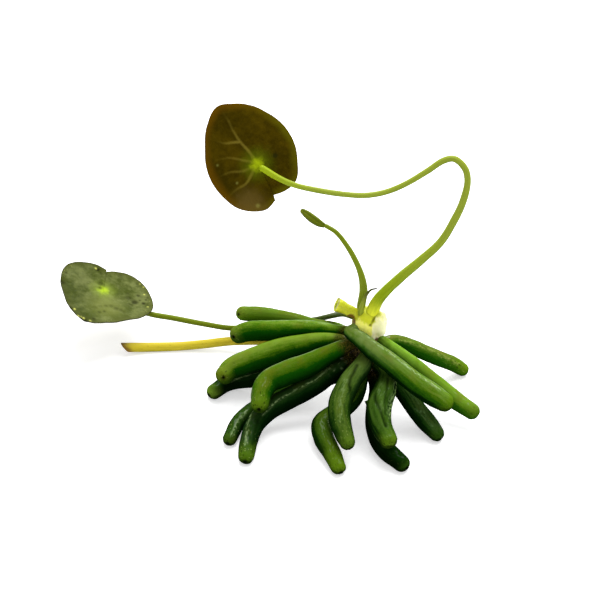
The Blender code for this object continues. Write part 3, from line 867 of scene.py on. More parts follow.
def engrave(spot: bmesh.types.BMVert, layer: dict[str, Any], place: Vector, height: float,
            grooves: Sequence[Groove], marks: Sequence[Spot], sharpness: float) -> float:
    """Work the grooves and marks into one point of a surface, and paint their masks on it.

    Args:
        spot: The point; its masks are changed.
        layer: The shape's masks by name.
        place: Where the point is on the plain form.
        height: How far it stands out so far.
        grooves: The creases and ridges.
        marks: The small round marks.
        sharpness: How sharply the paint of a mark ends.

    Returns:
        How far the point stands out with them.
    """
    for groove in grooves:
        cut = hump(line_distance(place, groove.line), groove.width)
        height -= groove.depth * cut
        spot[layer[groove.mask]] = max(spot[layer[groove.mask]], groove.shade * cut)
    for mark in marks:
        near = hump((place - Vector(mark.at)).length, mark.radius)
        height -= mark.depth * near
        spot[layer[mark.mask]] = max(spot[layer[mark.mask]], min(1.0, near * sharpness) * mark.strength)
    return height


def set_down(shape: bmesh.types.BMesh, name: str,
             finishes: Sequence[bpy.types.Material]) -> bpy.types.Object:
    """Turn a finished shape from millimetres into a piece that stands where its node stands.

    Args:
        shape: The shape, in millimetres round the crown; it is freed.
        name: The node that the piece stands for; the piece's own name follows from it.
        finishes: The piece's materials.

    Returns:
        The piece.
    """
    bmesh.ops.translate(shape, vec=CROWN_AT, verts=shape.verts)
    for spot in shape.verts:
        spot.co.z = max(spot.co.z, 0.0)
    bmesh.ops.scale(shape, vec=(MM, MM, MM), verts=shape.verts)
    mesh = bpy.data.meshes.new(name + "_form")
    shape.to_mesh(mesh)
    shape.free()
    mesh.shade_smooth()
    for finish in finishes:
        mesh.materials.append(finish)
    piece = bpy.data.objects.new(name + "_form", mesh)
    bpy.context.scene.collection.objects.link(piece)
    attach(piece, "root")
    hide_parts(name)
    LOG.info("%s: %d faces", piece.name, len(mesh.polygons))
    return piece


@dataclass
class Tube:
    """A round stem that follows a route, thicker and thinner along it."""

    name: str
    points: Sequence[Row]
    end: End = End.ROUND
    sides: int = 28
    spacing: float = 0.5
    inward: float = 0.0
    slant: tuple[float, float, float] = (0.0, 0.0, 0.0)
    slant_reach: float = 3.0
    wall: float = 0.4
    bore: float = 2.4
    root_bulge: float = 0.4
    point_reach: float = 2.2
    rib: float = 0.035
    swell: float = 0.05
    grooves: Sequence[Groove] = ()
    spots: Sequence[Spot] = ()

    def stations(self) -> list[Station]:
        """The tube's rings from its first pole to its last, each with the directions across it.

        Returns:
            The rings in order.
        """
        points = list(self.points)
        if self.inward:
            start = Vector(points[0][:3])
            inner = start + (Vector((*CROWN_AXIS, start.z)) - start).normalized() * self.inward
            points.insert(0, (*inner, points[0][3]))
        route = smooth_route(points, self.spacing)
        first, last = route[0], route[-1]
        back = (first[0] - route[1][0]).normalized()
        ahead = (last[0] - route[-2][0]).normalized()
        rings = [Station(first[0] + back * first[1] * math.sin(turn) * self.root_bulge,
                         first[1] * math.cos(turn), 0.0, -turn)
                 for turn in (math.pi / 2, math.pi / 3, math.pi / 6)]
        along = 0.0
        for (place, radius), before in zip(route, [first, *route]):
            along += (place - before[0]).length
            rings.append(Station(place, radius, along))
        rings += self.closing(last[0], last[1], ahead, along)
        self.steer(rings)
        return rings

    def closing(self, place: Vector, radius: float, ahead: Vector, along: float) -> list[Station]:
        """The rings that close the far end.

        Args:
            place: The route's last point.
            radius: The half thickness there.
            ahead: The direction in which the route ends.
            along: The length so far.

        Returns:
            The closing rings, the last of no thickness.
        """
        if self.end is End.HOLLOW:
            inner = radius - self.wall
            # Each ring's place along the stem, half thickness, and share in the hollow
            rows = [(0.10, radius - 0.25 * self.wall, 0.0), (0.12, radius - 0.6 * self.wall, 0.0),
                    (0.0, inner, 0.3), (-0.3 * self.bore, inner * 0.92, 0.8),
                    (-0.7 * self.bore, inner * 0.8, 1.0), (-0.95 * self.bore, inner * 0.5, 1.0),
                    (-self.bore, 0.0, 1.0)]
            return [Station(place + ahead * shift, thick, along, 0.0, hollow)
                    for shift, thick, hollow in rows]
        steps = max(4, round(radius * math.pi / 2 / self.spacing))
        reach = self.point_reach if self.end is End.TAPER else 1.0
        turns = [math.pi / 2 * step / steps for step in range(1, steps + 1)]
        return [Station(place + ahead * radius * reach * math.sin(turn), max(0.0, radius * math.cos(turn)),
                        along + radius * reach * turn, turn) for turn in turns]

    @staticmethod
    def steer(rings: list[Station]) -> None:
        """Give every ring its directions, turned as little as possible from one ring to the next.

        Args:
            rings: The rings, changed in place.
        """
        ahead = Vector((0.0, 0.0, 1.0))
        side = Vector((1.0, 0.0, 0.0))
        for index, ring in enumerate(rings):
            nearby = rings[max(0, index - 1):index + 2]
            span = nearby[-1].middle - nearby[0].middle
            # Rings inside a cut end go back down the bore, so they keep the direction of the rim
            if span.length > 0.2 and ring.hollow == 0.0:
                ahead = span.normalized()
            side = (side - ahead * side.dot(ahead)).normalized()
            ring.ahead, ring.side, ring.rise = ahead, side, ahead.cross(side)

    def relief(self, place: Vector, skin: Vector, tip: float) -> float:
        """How far the surface stands out of the plain tube at a place.

        Args:
            place: The place on the plain tube; not used here.
            skin: The same place round and along the tube.
            tip: How far it is from the far pole; not used here.

        Returns:
            The height in millimetres.
        """
        ribs = noise.noise(drawn_out(skin, 2.4, 0.10))
        swell = noise.noise(drawn_out(skin, 0.3, 0.22) + Vector((7.0, 3.0, 1.0)))
        return ribs * self.rib + swell * self.swell

    def shaped(self) -> bmesh.types.BMesh:
        """Wrap a grid round the route, with the surface's relief and the masks that its finish reads.

        Returns:
            The closed shape, in millimetres.
        """
        rings = self.stations()
        count, total = len(rings) - 1, rings[-1].along
        shape = bmesh.new()
        bmesh.ops.create_grid(shape, x_segments=count, y_segments=self.sides, size=0.5)
        # The up and back numbers steer the finishes' painted light and shade; the crease and pale masks carry
        # painted shade and painted highlights.
        layer = number_layers(shape, "up", "back", "tip", "root", "part", "hollow", "crease", "pale")
        skin_layer = shape.verts.layers.float_vector.new("skin")
        slant, slanted = Vector(self.slant), self.slant_reach * self.points[-1][3]
        for spot in shape.verts:
            ring = rings[round((spot.co.x + 0.5) * count)]
            turn = math.tau * (spot.co.y + 0.5)
            radial = ring.side * math.cos(turn) + ring.rise * math.sin(turn)
            outward = radial * math.cos(ring.lean) + ring.ahead * math.sin(ring.lean)
            place = ring.middle + radial * ring.radius
            skin = Vector((math.cos(turn) * ring.radius, math.sin(turn) * ring.radius, ring.along))
            tip = total - ring.along
            height = 0.0 if ring.hollow else self.relief(place, skin, tip)
            spot[layer["hollow"]] = ring.hollow
            height = engrave(spot, layer, place, height, self.grooves, self.spots, 1.6)
            if slant.length_squared:
                place += ring.ahead * radial.dot(slant) * ring.radius * ramp(tip, slanted, 0.0)
            spot.co = place + outward * height
            spot[layer["up"]] = outward.z
            spot[layer["back"]] = outward.y
            spot[layer["tip"]] = tip
            spot[layer["root"]] = ring.along
            spot[layer["part"]] = ring.along / total
            spot[skin_layer] = skin
        bmesh.ops.remove_doubles(shape, verts=shape.verts, dist=0.002)
        bmesh.ops.recalc_face_normals(shape, faces=shape.faces)
        return shape

    def build(self, finish: bpy.types.Material) -> bpy.types.Object:
        """Make the piece.

        Args:
            finish: Its material.

        Returns:
            The piece.
        """
        return set_down(self.shaped(), self.name, [finish])


@dataclass
class Tuber(Tube):
    """One tuber: plump, a little lumpy, wrinkled lengthwise, pimply at its tip, with a dimple at its pole."""

    sides: int = 60
    spacing: float = 0.24
    inward: float = 2.6
    lumps: float = 0.12
    wrinkles: float = 0.06
    ridges: float = 0.0
    seed: float = 0.0
    warts: float = 0.03
    wart_reach: float = 12.0

    def relief(self, place: Vector, skin: Vector, tip: float) -> float:
        """How far the skin stands out of the plain tube at a place.

        Args:
            place: The place on the plain tube.
            skin: The same place round and along the tuber.
            tip: How far it is from the tip's pole.

        Returns:
            The height in millimetres.
        """
        shift = Vector((self.seed * 7.3, self.seed * 3.1, self.seed * 5.7))
        height = self.lumps * noise.noise(place * 0.17 + shift)
        height += 0.4 * self.lumps * noise.noise(place * 0.5 + shift)
        height += self.wrinkles * noise.noise(drawn_out(skin, 1.5, 0.16) + shift)
        if self.ridges:
            fold = abs(noise.noise(drawn_out(skin, 0.62, 0.07) + shift))
            height += self.ridges * (fold * 2.0 - 0.5) * ramp(tip, 1.0, 6.0)
        if self.warts and tip < self.wart_reach:
            nearest = noise.voronoi(skin * 0.95 + shift)[0][0]
            height += self.warts * ramp(nearest, 0.45, 0.1) * ramp(tip, self.wart_reach, 2.0)
        return height


@dataclass
class RolledLeaf(Tube):
    """The young leaf, still rolled: its two margins are rolled in and meet in a groove along the front."""

    sides: int = 56
    spacing: float = 0.16
    facing: tuple[float, float, float] = (0.25, -0.75, 0.60)
    meet_depth: float = 0.34
    meet_width: float = 0.36
    meet_fade: float = 0.8

    def shaped(self) -> bmesh.types.BMesh:
        """Press the groove between the rolled margins into the plain spindle.

        Returns:
            The closed shape, in millimetres.
        """
        shape = super().shaped()
        line = middle_line(self.points, 0.4)
        crease = shape.verts.layers.float["crease"]
        facing = Vector(self.facing).normalized()
        for spot in shape.verts:
            nearest = min(range(len(line)), key=lambda index: (line[index] - spot.co).length_squared)
            ahead = (line[min(nearest + 1, len(line) - 1)] - line[max(nearest - 1, 0)]).normalized()
            front = (facing - ahead * facing.dot(ahead)).normalized()
            across = ahead.cross(front)
            out = spot.co - line[nearest]
            out -= ahead * out.dot(ahead)
            if out.length < 0.02 or out.dot(front) < 0:
                continue
            near = hump(out.dot(across), self.meet_width) * min(1.0, out.length / self.meet_fade)
            spot.co -= front * self.meet_depth * near
            spot[crease] = near
        bmesh.ops.recalc_face_normals(shape, faces=shape.faces)
        return shape


@dataclass
class Scale(Tube):
    """The dried scale at the crown: flat and folded across, and drawn out to a curled thread."""

    sides: int = 32
    spacing: float = 0.25
    flatness: float = 0.5
    facing: tuple[float, float, float] = (0.3, -0.8, 0.5)

    def shaped(self) -> bmesh.types.BMesh:
        """Flatten the plain taper towards its front.

        Returns:
            The closed shape, in millimetres.
        """
        shape = super().shaped()
        line = middle_line(self.points, 0.4)
        facing = Vector(self.facing).normalized()
        for spot in shape.verts:
            nearest = min(line, key=lambda place: (place - spot.co).length_squared)
            spot.co -= facing * (spot.co - nearest).dot(facing) * self.flatness
        bmesh.ops.recalc_face_normals(shape, faces=shape.faces)
        return shape


@dataclass(frozen=True)
class Vein:
    """A vein of a leaf: its line in the blade, and how strong it is."""

    points: tuple[tuple[float, float], ...]
    strength: float = 1.0


@dataclass
class Leaf:
    """A floating leaf: a thin heart-shaped blade with raised veins under it and a rim that thins out."""

    name: str
    rim: Sequence[tuple[float, float]]
    place: Matrix
    cup: float
    veins: Sequence[Vein]
    spots: Sequence[Spot] = ()
    spokes: int = 300
    rings: int = 54
    thickness: float = 0.42
    rim_share: float = 0.5
    wave: float = 0.25
    crumple: float = 0.10
    vein_height: float = 0.14
    vein_width: float = 0.50
    lap: float = 0.0
    lap_reach: float = 20.0

    def reach(self, angle: float) -> float:
        """Distance from the stalk to the rim, smooth between the rim's points.

        Args:
            angle: The direction in the blade, in degrees.

        Returns:
            The distance in millimetres.
        """
        rim = self.rim
        index = 0
        while index < len(rim) - 2 and rim[index + 1][0] < angle:
            index += 1
        rows = [rim[max(0, index - 1)], rim[index], rim[index + 1], rim[min(len(rim) - 1, index + 2)]]
        t = (angle - rows[1][0]) / (rows[2][0] - rows[1][0])
        leave, arrive = (rows[2][1] - rows[0][1]) / 2, (rows[3][1] - rows[1][1]) / 2
        return hermite(t, rows[1][1], leave, rows[2][1], arrive)

    def vein_tree(self) -> tuple[kdtree.KDTree, list[float]]:
        """The veins as closely spaced points that can be searched.

        Returns:
            The tree of points, and each point's strength, which fades along its vein.
        """
        samples: list[tuple[Vector, float]] = []
        for vein in self.veins:
            route = smooth_route([(x, y, 0.0, 1.0) for x, y in vein.points], 0.12)
            samples += [(place, vein.strength * (1.0 - 0.75 * step / len(route)))
                        for step, (place, _) in enumerate(route)]
        tree = kdtree.KDTree(len(samples))
        for index, (place, _) in enumerate(samples):
            tree.insert(place, index)
        tree.balance()
        return tree, [strength for _, strength in samples]

    def fan(self) -> bmesh.types.BMesh:
        """Spin a spoke round the stalk's end, from one side of the slit to the other.

        Returns:
            A flat open fan with a radius of 1.
        """
        shape = bmesh.new()
        spoke = [shape.verts.new((ring / self.rings, 0, 0)) for ring in range(self.rings + 1)]
        edges = [shape.edges.new(pair) for pair in zip(spoke, spoke[1:])]
        start, end = math.radians(self.rim[0][0]), math.radians(self.rim[-1][0])
        bmesh.ops.rotate(shape, verts=shape.verts, cent=(0, 0, 0), matrix=Matrix.Rotation(start, 3, "Z"))
        bmesh.ops.spin(shape, geom=spoke + edges, cent=(0, 0, 0), axis=(0, 0, 1), angle=end - start,
                       steps=self.spokes)
        bmesh.ops.remove_doubles(shape, verts=shape.verts, dist=0.0001)
        return shape

    def shaped(self) -> bmesh.types.BMesh:
        """Stretch the fan to the rim, and work in the veins, waves, pits and the lap at the slit.

        Returns:
            The open blade, its upper side outwards, in millimetres.
        """
        shape = self.fan()
        layer = number_layers(shape, "rim", "hub", "vein", "pit", "gold")
        blade = shape.verts.layers.float_vector.new("blade")
        thin = shape.verts.layers.deform.verify()
        tree, strengths = self.vein_tree()
        first, last = self.rim[0][0], self.rim[-1][0]
        for spot in shape.verts:
            part = spot.co.length
            angle = math.degrees(math.atan2(spot.co.y, spot.co.x)) % 360
            while angle < first - 0.5:
                angle += 360
            full = self.reach(min(angle, last))
            turned = math.radians(angle)
            flat = Vector((full * part * math.cos(turned), full * part * math.sin(turned), 0.0))
            _, index, off = tree.find(flat)
            vein = hump(off, self.vein_width) * strengths[index]
            height = self.cup * part**2 - self.vein_height * vein
            height += self.wave * noise.noise(flat * 0.16) * part**2 + self.crumple * noise.noise(flat * 0.5)
            height += 0.3 * self.crumple * noise.noise(flat * 1.4)
            height += self.lap * part * (ramp(angle - first, self.lap_reach, 0.0)
                                         - ramp(last - angle, self.lap_reach, 0.0))
            spot[layer["rim"]] = full * (1.0 - part)
            spot[layer["hub"]] = full * part
            spot[layer["vein"]] = vein
            height = engrave(spot, layer, flat, height, (), self.spots, 1.5)
            spot[blade] = flat
            spot[thin][0] = self.rim_share + (1.0 - self.rim_share) * ramp(part, 1.0, 0.75)
            spot.co = Vector((flat.x, flat.y, height))
        bmesh.ops.recalc_face_normals(shape, faces=shape.faces)
        shape.faces.ensure_lookup_table()
        if shape.faces[0].normal.z < 0:
            bmesh.ops.reverse_faces(shape, faces=shape.faces)
        bmesh.ops.transform(shape, matrix=self.place, verts=shape.verts)
        return shape

    def build(self, outer: bpy.types.Material, inner: bpy.types.Material) -> bpy.types.Object:
        """Make the piece, with a finish for each side.

        Args:
            outer: The finish of the side that the blade's normal points to.
            inner: The finish of the other side.

        Returns:
            The piece.
        """
        piece = set_down(self.shaped(), self.name, [outer, inner])
        piece.vertex_groups.new(name="thickness")
        wall = piece.modifiers.new("thickness", "SOLIDIFY")
        wall.thickness = self.thickness * MM
        wall.offset = 0.0
        wall.vertex_group = "thickness"
        wall.thickness_vertex_group = 0.0
        wall.material_offset = 1
        wall.material_offset_rim = 0
        return piece


@dataclass
class Crown:
    """The short rhizome with the pale lump and the cut stub that grow from it, as one piece."""

    stains: Sequence[Spot]
    folds: Sequence[Groove]
    outline: Sequence[tuple[float, float]] = (
        (0.0, 31.2), (1.9, 30.9), (3.3, 29.6), (4.2, 27.4), (4.5, 25.0), (4.3, 22.0),
        (4.2, 18.0), (4.2, 14.0), (3.8, 10.5), (3.1, 8.0), (1.9, 6.4), (0.0, 5.8))
    lump_at: tuple[float, float, float] = (3.2, -0.6, 26.8)
    lump_half: tuple[float, float, float] = (3.9, 3.9, 5.0)
    lump_foot: float = 0.8
    lump_peaks: Sequence[tuple[float, float, float]] = (
        (0.3, 0.2, -0.9), (0.0, 0.3, 1.3), (0.5, -0.2, 1.0), (0.9, 0.4, -0.6))
    lump_rim: Span = (1.12, 0.86)
    lump_left: Span = (0.2, 2.6)
    ragged_top: Span = (27.5, 30.5)
    soil_line: Span = (24.0, 21.0)
    collar_top: Span = (23.0, 20.5)
    collar_foot: Span = (11.0, 13.5)
    collar_side: Span = (1.5, -2.0)
    lime_at: tuple[float, float, float] = (1.4, -1.0, 31.2)
    lime_reach: Span = (5.4, 1.8)
    stem_from: int = 9
    stem_reach: Span = (3.2, 1.8)
    stem_lime: float = 0.8
    stem_fold: float = 0.46
    mouth_fold: float = 0.58
    under_shade: float = 0.85
    bore_reach: Span = (1.85, 1.55)
    bore_depth: Span = (-2.9, -2.5)
    voxel: float = 0.22

    def core(self) -> bmesh.types.BMesh:
        """Turn the rhizome from its outline.

        Returns:
            The closed shape.
        """
        shape = bmesh.new()
        rows = smooth_route([(radius, 0.0, height, 1.0) for radius, height in self.outline], 0.5)
        spots = [shape.verts.new((max(0.0, place.x), 0.0, place.z)) for place, _ in rows]
        edges = [shape.edges.new(pair) for pair in zip(spots, spots[1:])]
        bmesh.ops.spin(shape, geom=spots + edges, cent=(0, 0, 0), axis=(0, 0, 1), angle=math.tau, steps=56,
                       use_merge=True)
        bmesh.ops.remove_doubles(shape, verts=shape.verts, dist=0.001)
        bmesh.ops.translate(shape, vec=(*CROWN_AXIS, 0.0), verts=shape.verts)
        bmesh.ops.recalc_face_normals(shape, faces=shape.faces)
        return shape

    def lump(self) -> bmesh.types.BMesh:
        """Round a box whose top corners stand up unevenly.

        Returns:
            The closed shape.
        """
        shape = bmesh.new()
        bmesh.ops.create_cube(shape, size=2.0)
        bmesh.ops.scale(shape, vec=self.lump_half, verts=shape.verts)
        for corner in shape.verts:
            if corner.co.z > 0:
                corner.co += Vector(self.lump_peaks[2 * (corner.co.x > 0) + (corner.co.y > 0)])
            else:
                corner.co.x *= self.lump_foot
                corner.co.y *= self.lump_foot
        bmesh.ops.translate(shape, vec=self.lump_at, verts=shape.verts)
        mesh = bpy.data.meshes.new("lump_cage")
        shape.to_mesh(mesh)
        shape.free()
        cage = bpy.data.objects.new("lump_cage", mesh)
        rounded = cage.modifiers.new("rounded", "SUBSURF")
        rounded.levels = rounded.render_levels = 4
        return self.taken(cage)

    @staticmethod
    def taken(holder: bpy.types.Object) -> bmesh.types.BMesh:
        """Read a helper object as its modifiers leave it, and remove it.

        Args:
            holder: The helper object.

        Returns:
            Its shape.
        """
        bpy.context.scene.collection.objects.link(holder)
        bpy.context.view_layer.update()
        source = holder.data
        mesh = bpy.data.meshes.new_from_object(holder.evaluated_get(bpy.context.evaluated_depsgraph_get()))
        shape = bmesh.new()
        shape.from_mesh(mesh)
        bpy.data.objects.remove(holder, do_unlink=True)
        bpy.data.meshes.remove(mesh)
        bpy.data.meshes.remove(source)
        return shape

    def build(self, finish: bpy.types.Material) -> bpy.types.Object:
        """Grow the three forms together, work the surface, and paint the masks.

        Args:
            finish: The crown's material.

        Returns:
            The piece.
        """
        stub = Tube("stub", STUB, End.HOLLOW, 40, 0.3, wall=0.45, bore=2.6,
                    slant=(-0.25, 0.0, 0.30)).shaped()
        joined = bpy.data.meshes.new("crown_joined")
        together = bmesh.new()
        for part in (self.core(), self.lump(), stub):
            part.to_mesh(joined)
            part.free()
            together.from_mesh(joined)
        together.to_mesh(joined)
        together.free()
        holder = bpy.data.objects.new("crown_joined", joined)
        grown = holder.modifiers.new("grown", "REMESH")
        grown.mode = "VOXEL"
        grown.voxel_size = self.voxel
        shape = self.taken(holder)
        for _ in range(3):
            bmesh.ops.smooth_vert(shape, verts=shape.verts, factor=0.5, use_axis_x=True, use_axis_y=True,
                                  use_axis_z=True)
        self.work(shape)
        return set_down(shape, "crown", [finish])

    def lump_share(self, place: Vector) -> float:
        """How far a place belongs to the pale lump, whose left edge is ragged.

        Args:
            place: The place.

        Returns:
            A number from 0 to 1.
        """
        off = Vector([(here - middle) / half
                      for here, middle, half in zip(place, self.lump_at, self.lump_half)])
        rightward = place.x + 1.2 * noise.noise(place * 0.6) - 0.45 * (place.z - 26.5)
        return ramp(off.length, *self.lump_rim) * ramp(rightward, *self.lump_left)

    def relief(self, place: Vector, lump: float) -> float:
        """How far the surface stands out of the grown form: chunks, soil, the collar between the tubers.

        Args:
            place: The place.
            lump: How far it belongs to the lump.

        Returns:
            The height in millimetres.
        """
        chunk = noise.noise(place * 0.42 + Vector((3.0, 1.0, 8.0)))
        ragged = abs(noise.noise(place * 0.75 + Vector((1.0, 5.0, 2.0)))) * ramp(place.z, *self.ragged_top)
        height = chunk * 0.55 * lump - ragged * 1.1 * lump + noise.noise(place * 0.7) * 0.18
        rough = noise.noise(place * 0.9) * 0.5 + noise.noise(place * 2.1) * 0.3
        soil = ramp(place.z + 2.0 * noise.noise(place * 0.4), *self.soil_line)
        collar = ramp(place.z, *self.collar_top) * ramp(place.z, *self.collar_foot)
        collar *= ramp(place.x, *self.collar_side)
        height += soil * rough * 0.6 + collar * (1.0 + rough * 0.5)
        return height + 0.07 * noise.noise(drawn_out(place, 2.6, 0.5))

    def work(self, shape: bmesh.types.BMesh) -> None:
        """Give the grown shape its relief and its masks.

        Args:
            shape: The crown, changed in place.
        """
        layer = number_layers(shape, "lump", "lime", "stain", "fold", "cut", "hollow", "high")
        shape.normal_update()
        axis = middle_line(STUB, 0.3)
        stem, mouth, way = axis[self.stem_from:], axis[-1], (axis[-1] - axis[-2]).normalized()
        lime_at = Vector(self.lime_at)
        moves: list[tuple[bmesh.types.BMVert, Vector]] = []
        for spot in shape.verts:
            place = spot.co.copy()
            lump = self.lump_share(place)
            on_stem = ramp(line_distance(place, stem), *self.stem_reach)
            ahead = (place - mouth).dot(way)
            across = (place - mouth - way * ahead).length
            inside = ramp(across, *self.bore_reach) * ramp(ahead, *self.bore_depth) * ramp(ahead, 0.5, -0.1)
            at_mouth = ramp(ahead, -1.4, -0.1) * ramp(across, 3.4, 2.6)
            # Painted shade on the underside of the stub, through the fold mask.
            beneath = ramp(spot.normal.z, 0.15, -0.6) * ramp(place.x, -1.0, -3.0) * ramp(place.z, 25.0, 27.0)
            masks = {"lump": lump, "high": place.z, "hollow": inside,
                     "lime": max(ramp((place - lime_at).length, *self.lime_reach),
                                 on_stem * self.stem_lime),
                     "fold": max(beneath * self.under_shade, on_stem * self.stem_fold,
                                 ramp((place - mouth).length, 3.2, 1.2) * self.mouth_fold),
                     "cut": at_mouth * ramp(ahead, -0.35, 0.1) * (1.0 - inside)}
            for mask, share in masks.items():
                spot[layer[mask]] = share
            height = engrave(spot, layer, place, self.relief(place, lump), self.folds, self.stains, 1.5)
            moves.append((spot, spot.normal * (0.0 if inside > 0.2 else height)))
        for spot, move in moves:
            spot.co += move


@dataclass
class Studio:
    """Pale, faintly lit floor, broad soft light from above and behind, and the photograph's camera."""

    look_at: tuple[float, float, float] = (0.0106, -0.0043, 0.0350)
    stand: tuple[float, float, float] = (0.0106, -0.37204, 0.32231)
    tilt: float = 52.0
    lens: float = 100.0
    floor_size: float = 6.0
    light_size: float = 1.1
    light_at: tuple[float, float, float] = (0.20, 0.55, 1.00)
    light_power: float = 21.0
    rim_size: float = 0.22
    rim_at: tuple[float, float, float] = (0.16, 0.80, 0.34)
    rim_power: float = 3.0
    sky: float = 0.62
    glow: float = 0.50
    greys: tuple[float, float] = (0.80, 0.83)
    sensor: float = 36.0

    def floor(self) -> bpy.types.Object:
        """Lay the floor.

        Returns:
            The floor.
        """
        g = Graph("pale_floor")
        soft = g.cloud(g.place(), 0.01, 2.0)
        colour = g.mix(*((grey, grey, grey, 1.0) for grey in self.greys), soft)
        finish = g.finished(Base_Color=colour, Roughness=0.9, Specular_IOR_Level=0.1,
                            Emission_Color=(1.0, 1.0, 1.0, 1.0), Emission_Strength=self.glow)
        shape = bmesh.new()
        bmesh.ops.create_grid(shape, x_segments=4, y_segments=4, size=self.floor_size / 2)
        mesh = bpy.data.meshes.new("studio_floor")
        shape.to_mesh(mesh)
        shape.free()
        mesh.materials.append(finish)
        floor = bpy.data.objects.new("studio_floor", mesh)
        bpy.context.scene.collection.objects.link(floor)
        return floor

    def lights(self) -> None:
        """Hang the broad light and the small low one behind, and set the dim room round them."""
        for name, size, power, at in (("soft_light", self.light_size, self.light_power, self.light_at),
                                      ("low_light", self.rim_size, self.rim_power, self.rim_at)):
            lamp = bpy.data.lights.new(name, "AREA")
            lamp.shape = "DISK"
            lamp.size = size
            lamp.energy = power
            light = bpy.data.objects.new(name, lamp)
            light.location = at
            towards = Vector(self.look_at) - light.location
            light.rotation_euler = towards.to_track_quat("-Z", "Y").to_euler()
            bpy.context.scene.collection.objects.link(light)
        world = bpy.data.worlds.new("pale_room")
        world.use_nodes = True
        room = world.node_tree.nodes["Background"]
        room.inputs["Color"].default_value = (1.0, 1.0, 1.0, 1.0)
        room.inputs["Strength"].default_value = self.sky
        bpy.context.scene.world = world

    def camera(self) -> None:
        """Set up the camera."""
        data = bpy.data.cameras.new("camera")
        data.lens = self.lens
        data.sensor_width = self.sensor
        data.clip_start = 0.01
        camera = bpy.data.objects.new("camera", data)
        camera.location = self.stand
        camera.rotation_euler = (math.radians(self.tilt), 0.0, 0.0)
        bpy.context.scene.collection.objects.link(camera)
        bpy.context.scene.camera = camera

    def build(self) -> None:
        """Set up everything round the plant."""
        self.floor()
        self.lights()
        self.camera()
        bpy.context.scene.view_settings.view_transform = "Standard"
        LOG.info("studio: floor, light and camera")


UPPER_VEINS = (
    Vein(((0.0, 0.0), (-2.2, 3.4), (-4.8, 6.4), (-6.7, 9.5), (-8.0, 12.2), (-10.2, 15.5)), 1.0),
    Vein(((-4.6, 6.2), (-6.6, 6.0), (-8.8, 5.8), (-11.8, 6.6)), 0.9),
    Vein(((-0.6, 0.4), (-4.4, 1.2), (-7.6, 1.8), (-12.2, 1.0)), 0.8),
    Vein(((-0.8, -0.4), (-3.6, -1.8), (-7.6, -2.2), (-11.6, -4.0)), 0.8),
    Vein(((-0.6, -0.8), (-1.6, -3.0), (-3.2, -5.4), (-5.6, -6.8), (-8.2, -9.2)), 0.95),
    Vein(((-0.2, -1.0), (-0.6, -5.0), (-1.6, -10.4)), 0.3),
    Vein(((0.4, 1.0), (1.9, 3.0), (4.6, 5.8), (8.0, 8.6)), 0.42),
    Vein(((0.0, 1.0), (0.2, 4.5), (1.4, 9.0), (1.2, 13.2)), 0.35),
    Vein(((0.8, 0.4), (4.0, 1.4), (8.0, 1.2), (10.6, 1.0)), 0.28),
    Vein(((-6.7, 9.5), (-4.0, 12.0), (-3.2, 15.0)), 0.3),
    Vein(((0.8, -0.2), (4.2, -2.0), (7.4, -5.2)), 0.22),
)
UPPER_SPOTS = (
    Spot((4.9, 2.4, 0.0), 0.7, 0.10, "pit", 0.75), Spot((-10.9, -0.2, 0.0), 0.28, 0.0, "gold", 0.18),
    Spot((-5.5, -5.1, 0.0), 0.3, 0.0, "gold", 0.2), Spot((0.2, -11.3, 0.0), 0.5, 0.0, "gold", 0.2),
)
LEFT_VEINS = (
    Vein(((0.0, 0.0), (-0.8, -5.0), (-2.4, -11.0), (-3.6, -16.0)), 0.8),
    Vein(((-0.4, 0.0), (-4.5, -3.0), (-8.8, -7.8), (-11.0, -10.5)), 0.45),
    Vein(((-0.4, 0.3), (-5.0, 0.2), (-9.5, -1.2), (-12.6, -1.8)), 0.45),
    Vein(((-0.4, 0.6), (-4.4, 3.8), (-8.2, 6.0), (-11.0, 7.2)), 0.4),
    Vein(((0.2, -0.4), (2.6, -5.0), (5.6, -10.0), (6.8, -12.6)), 0.45),
    Vein(((0.4, -0.2), (5.0, -2.8), (10.0, -4.6), (14.4, -5.2)), 0.5),
    Vein(((0.4, 0.2), (5.2, 0.8), (9.6, 1.6), (13.4, 2.2)), 0.4),
    Vein(((0.3, 0.6), (3.8, 4.0), (6.6, 7.0), (8.4, 8.8)), 0.35),
)

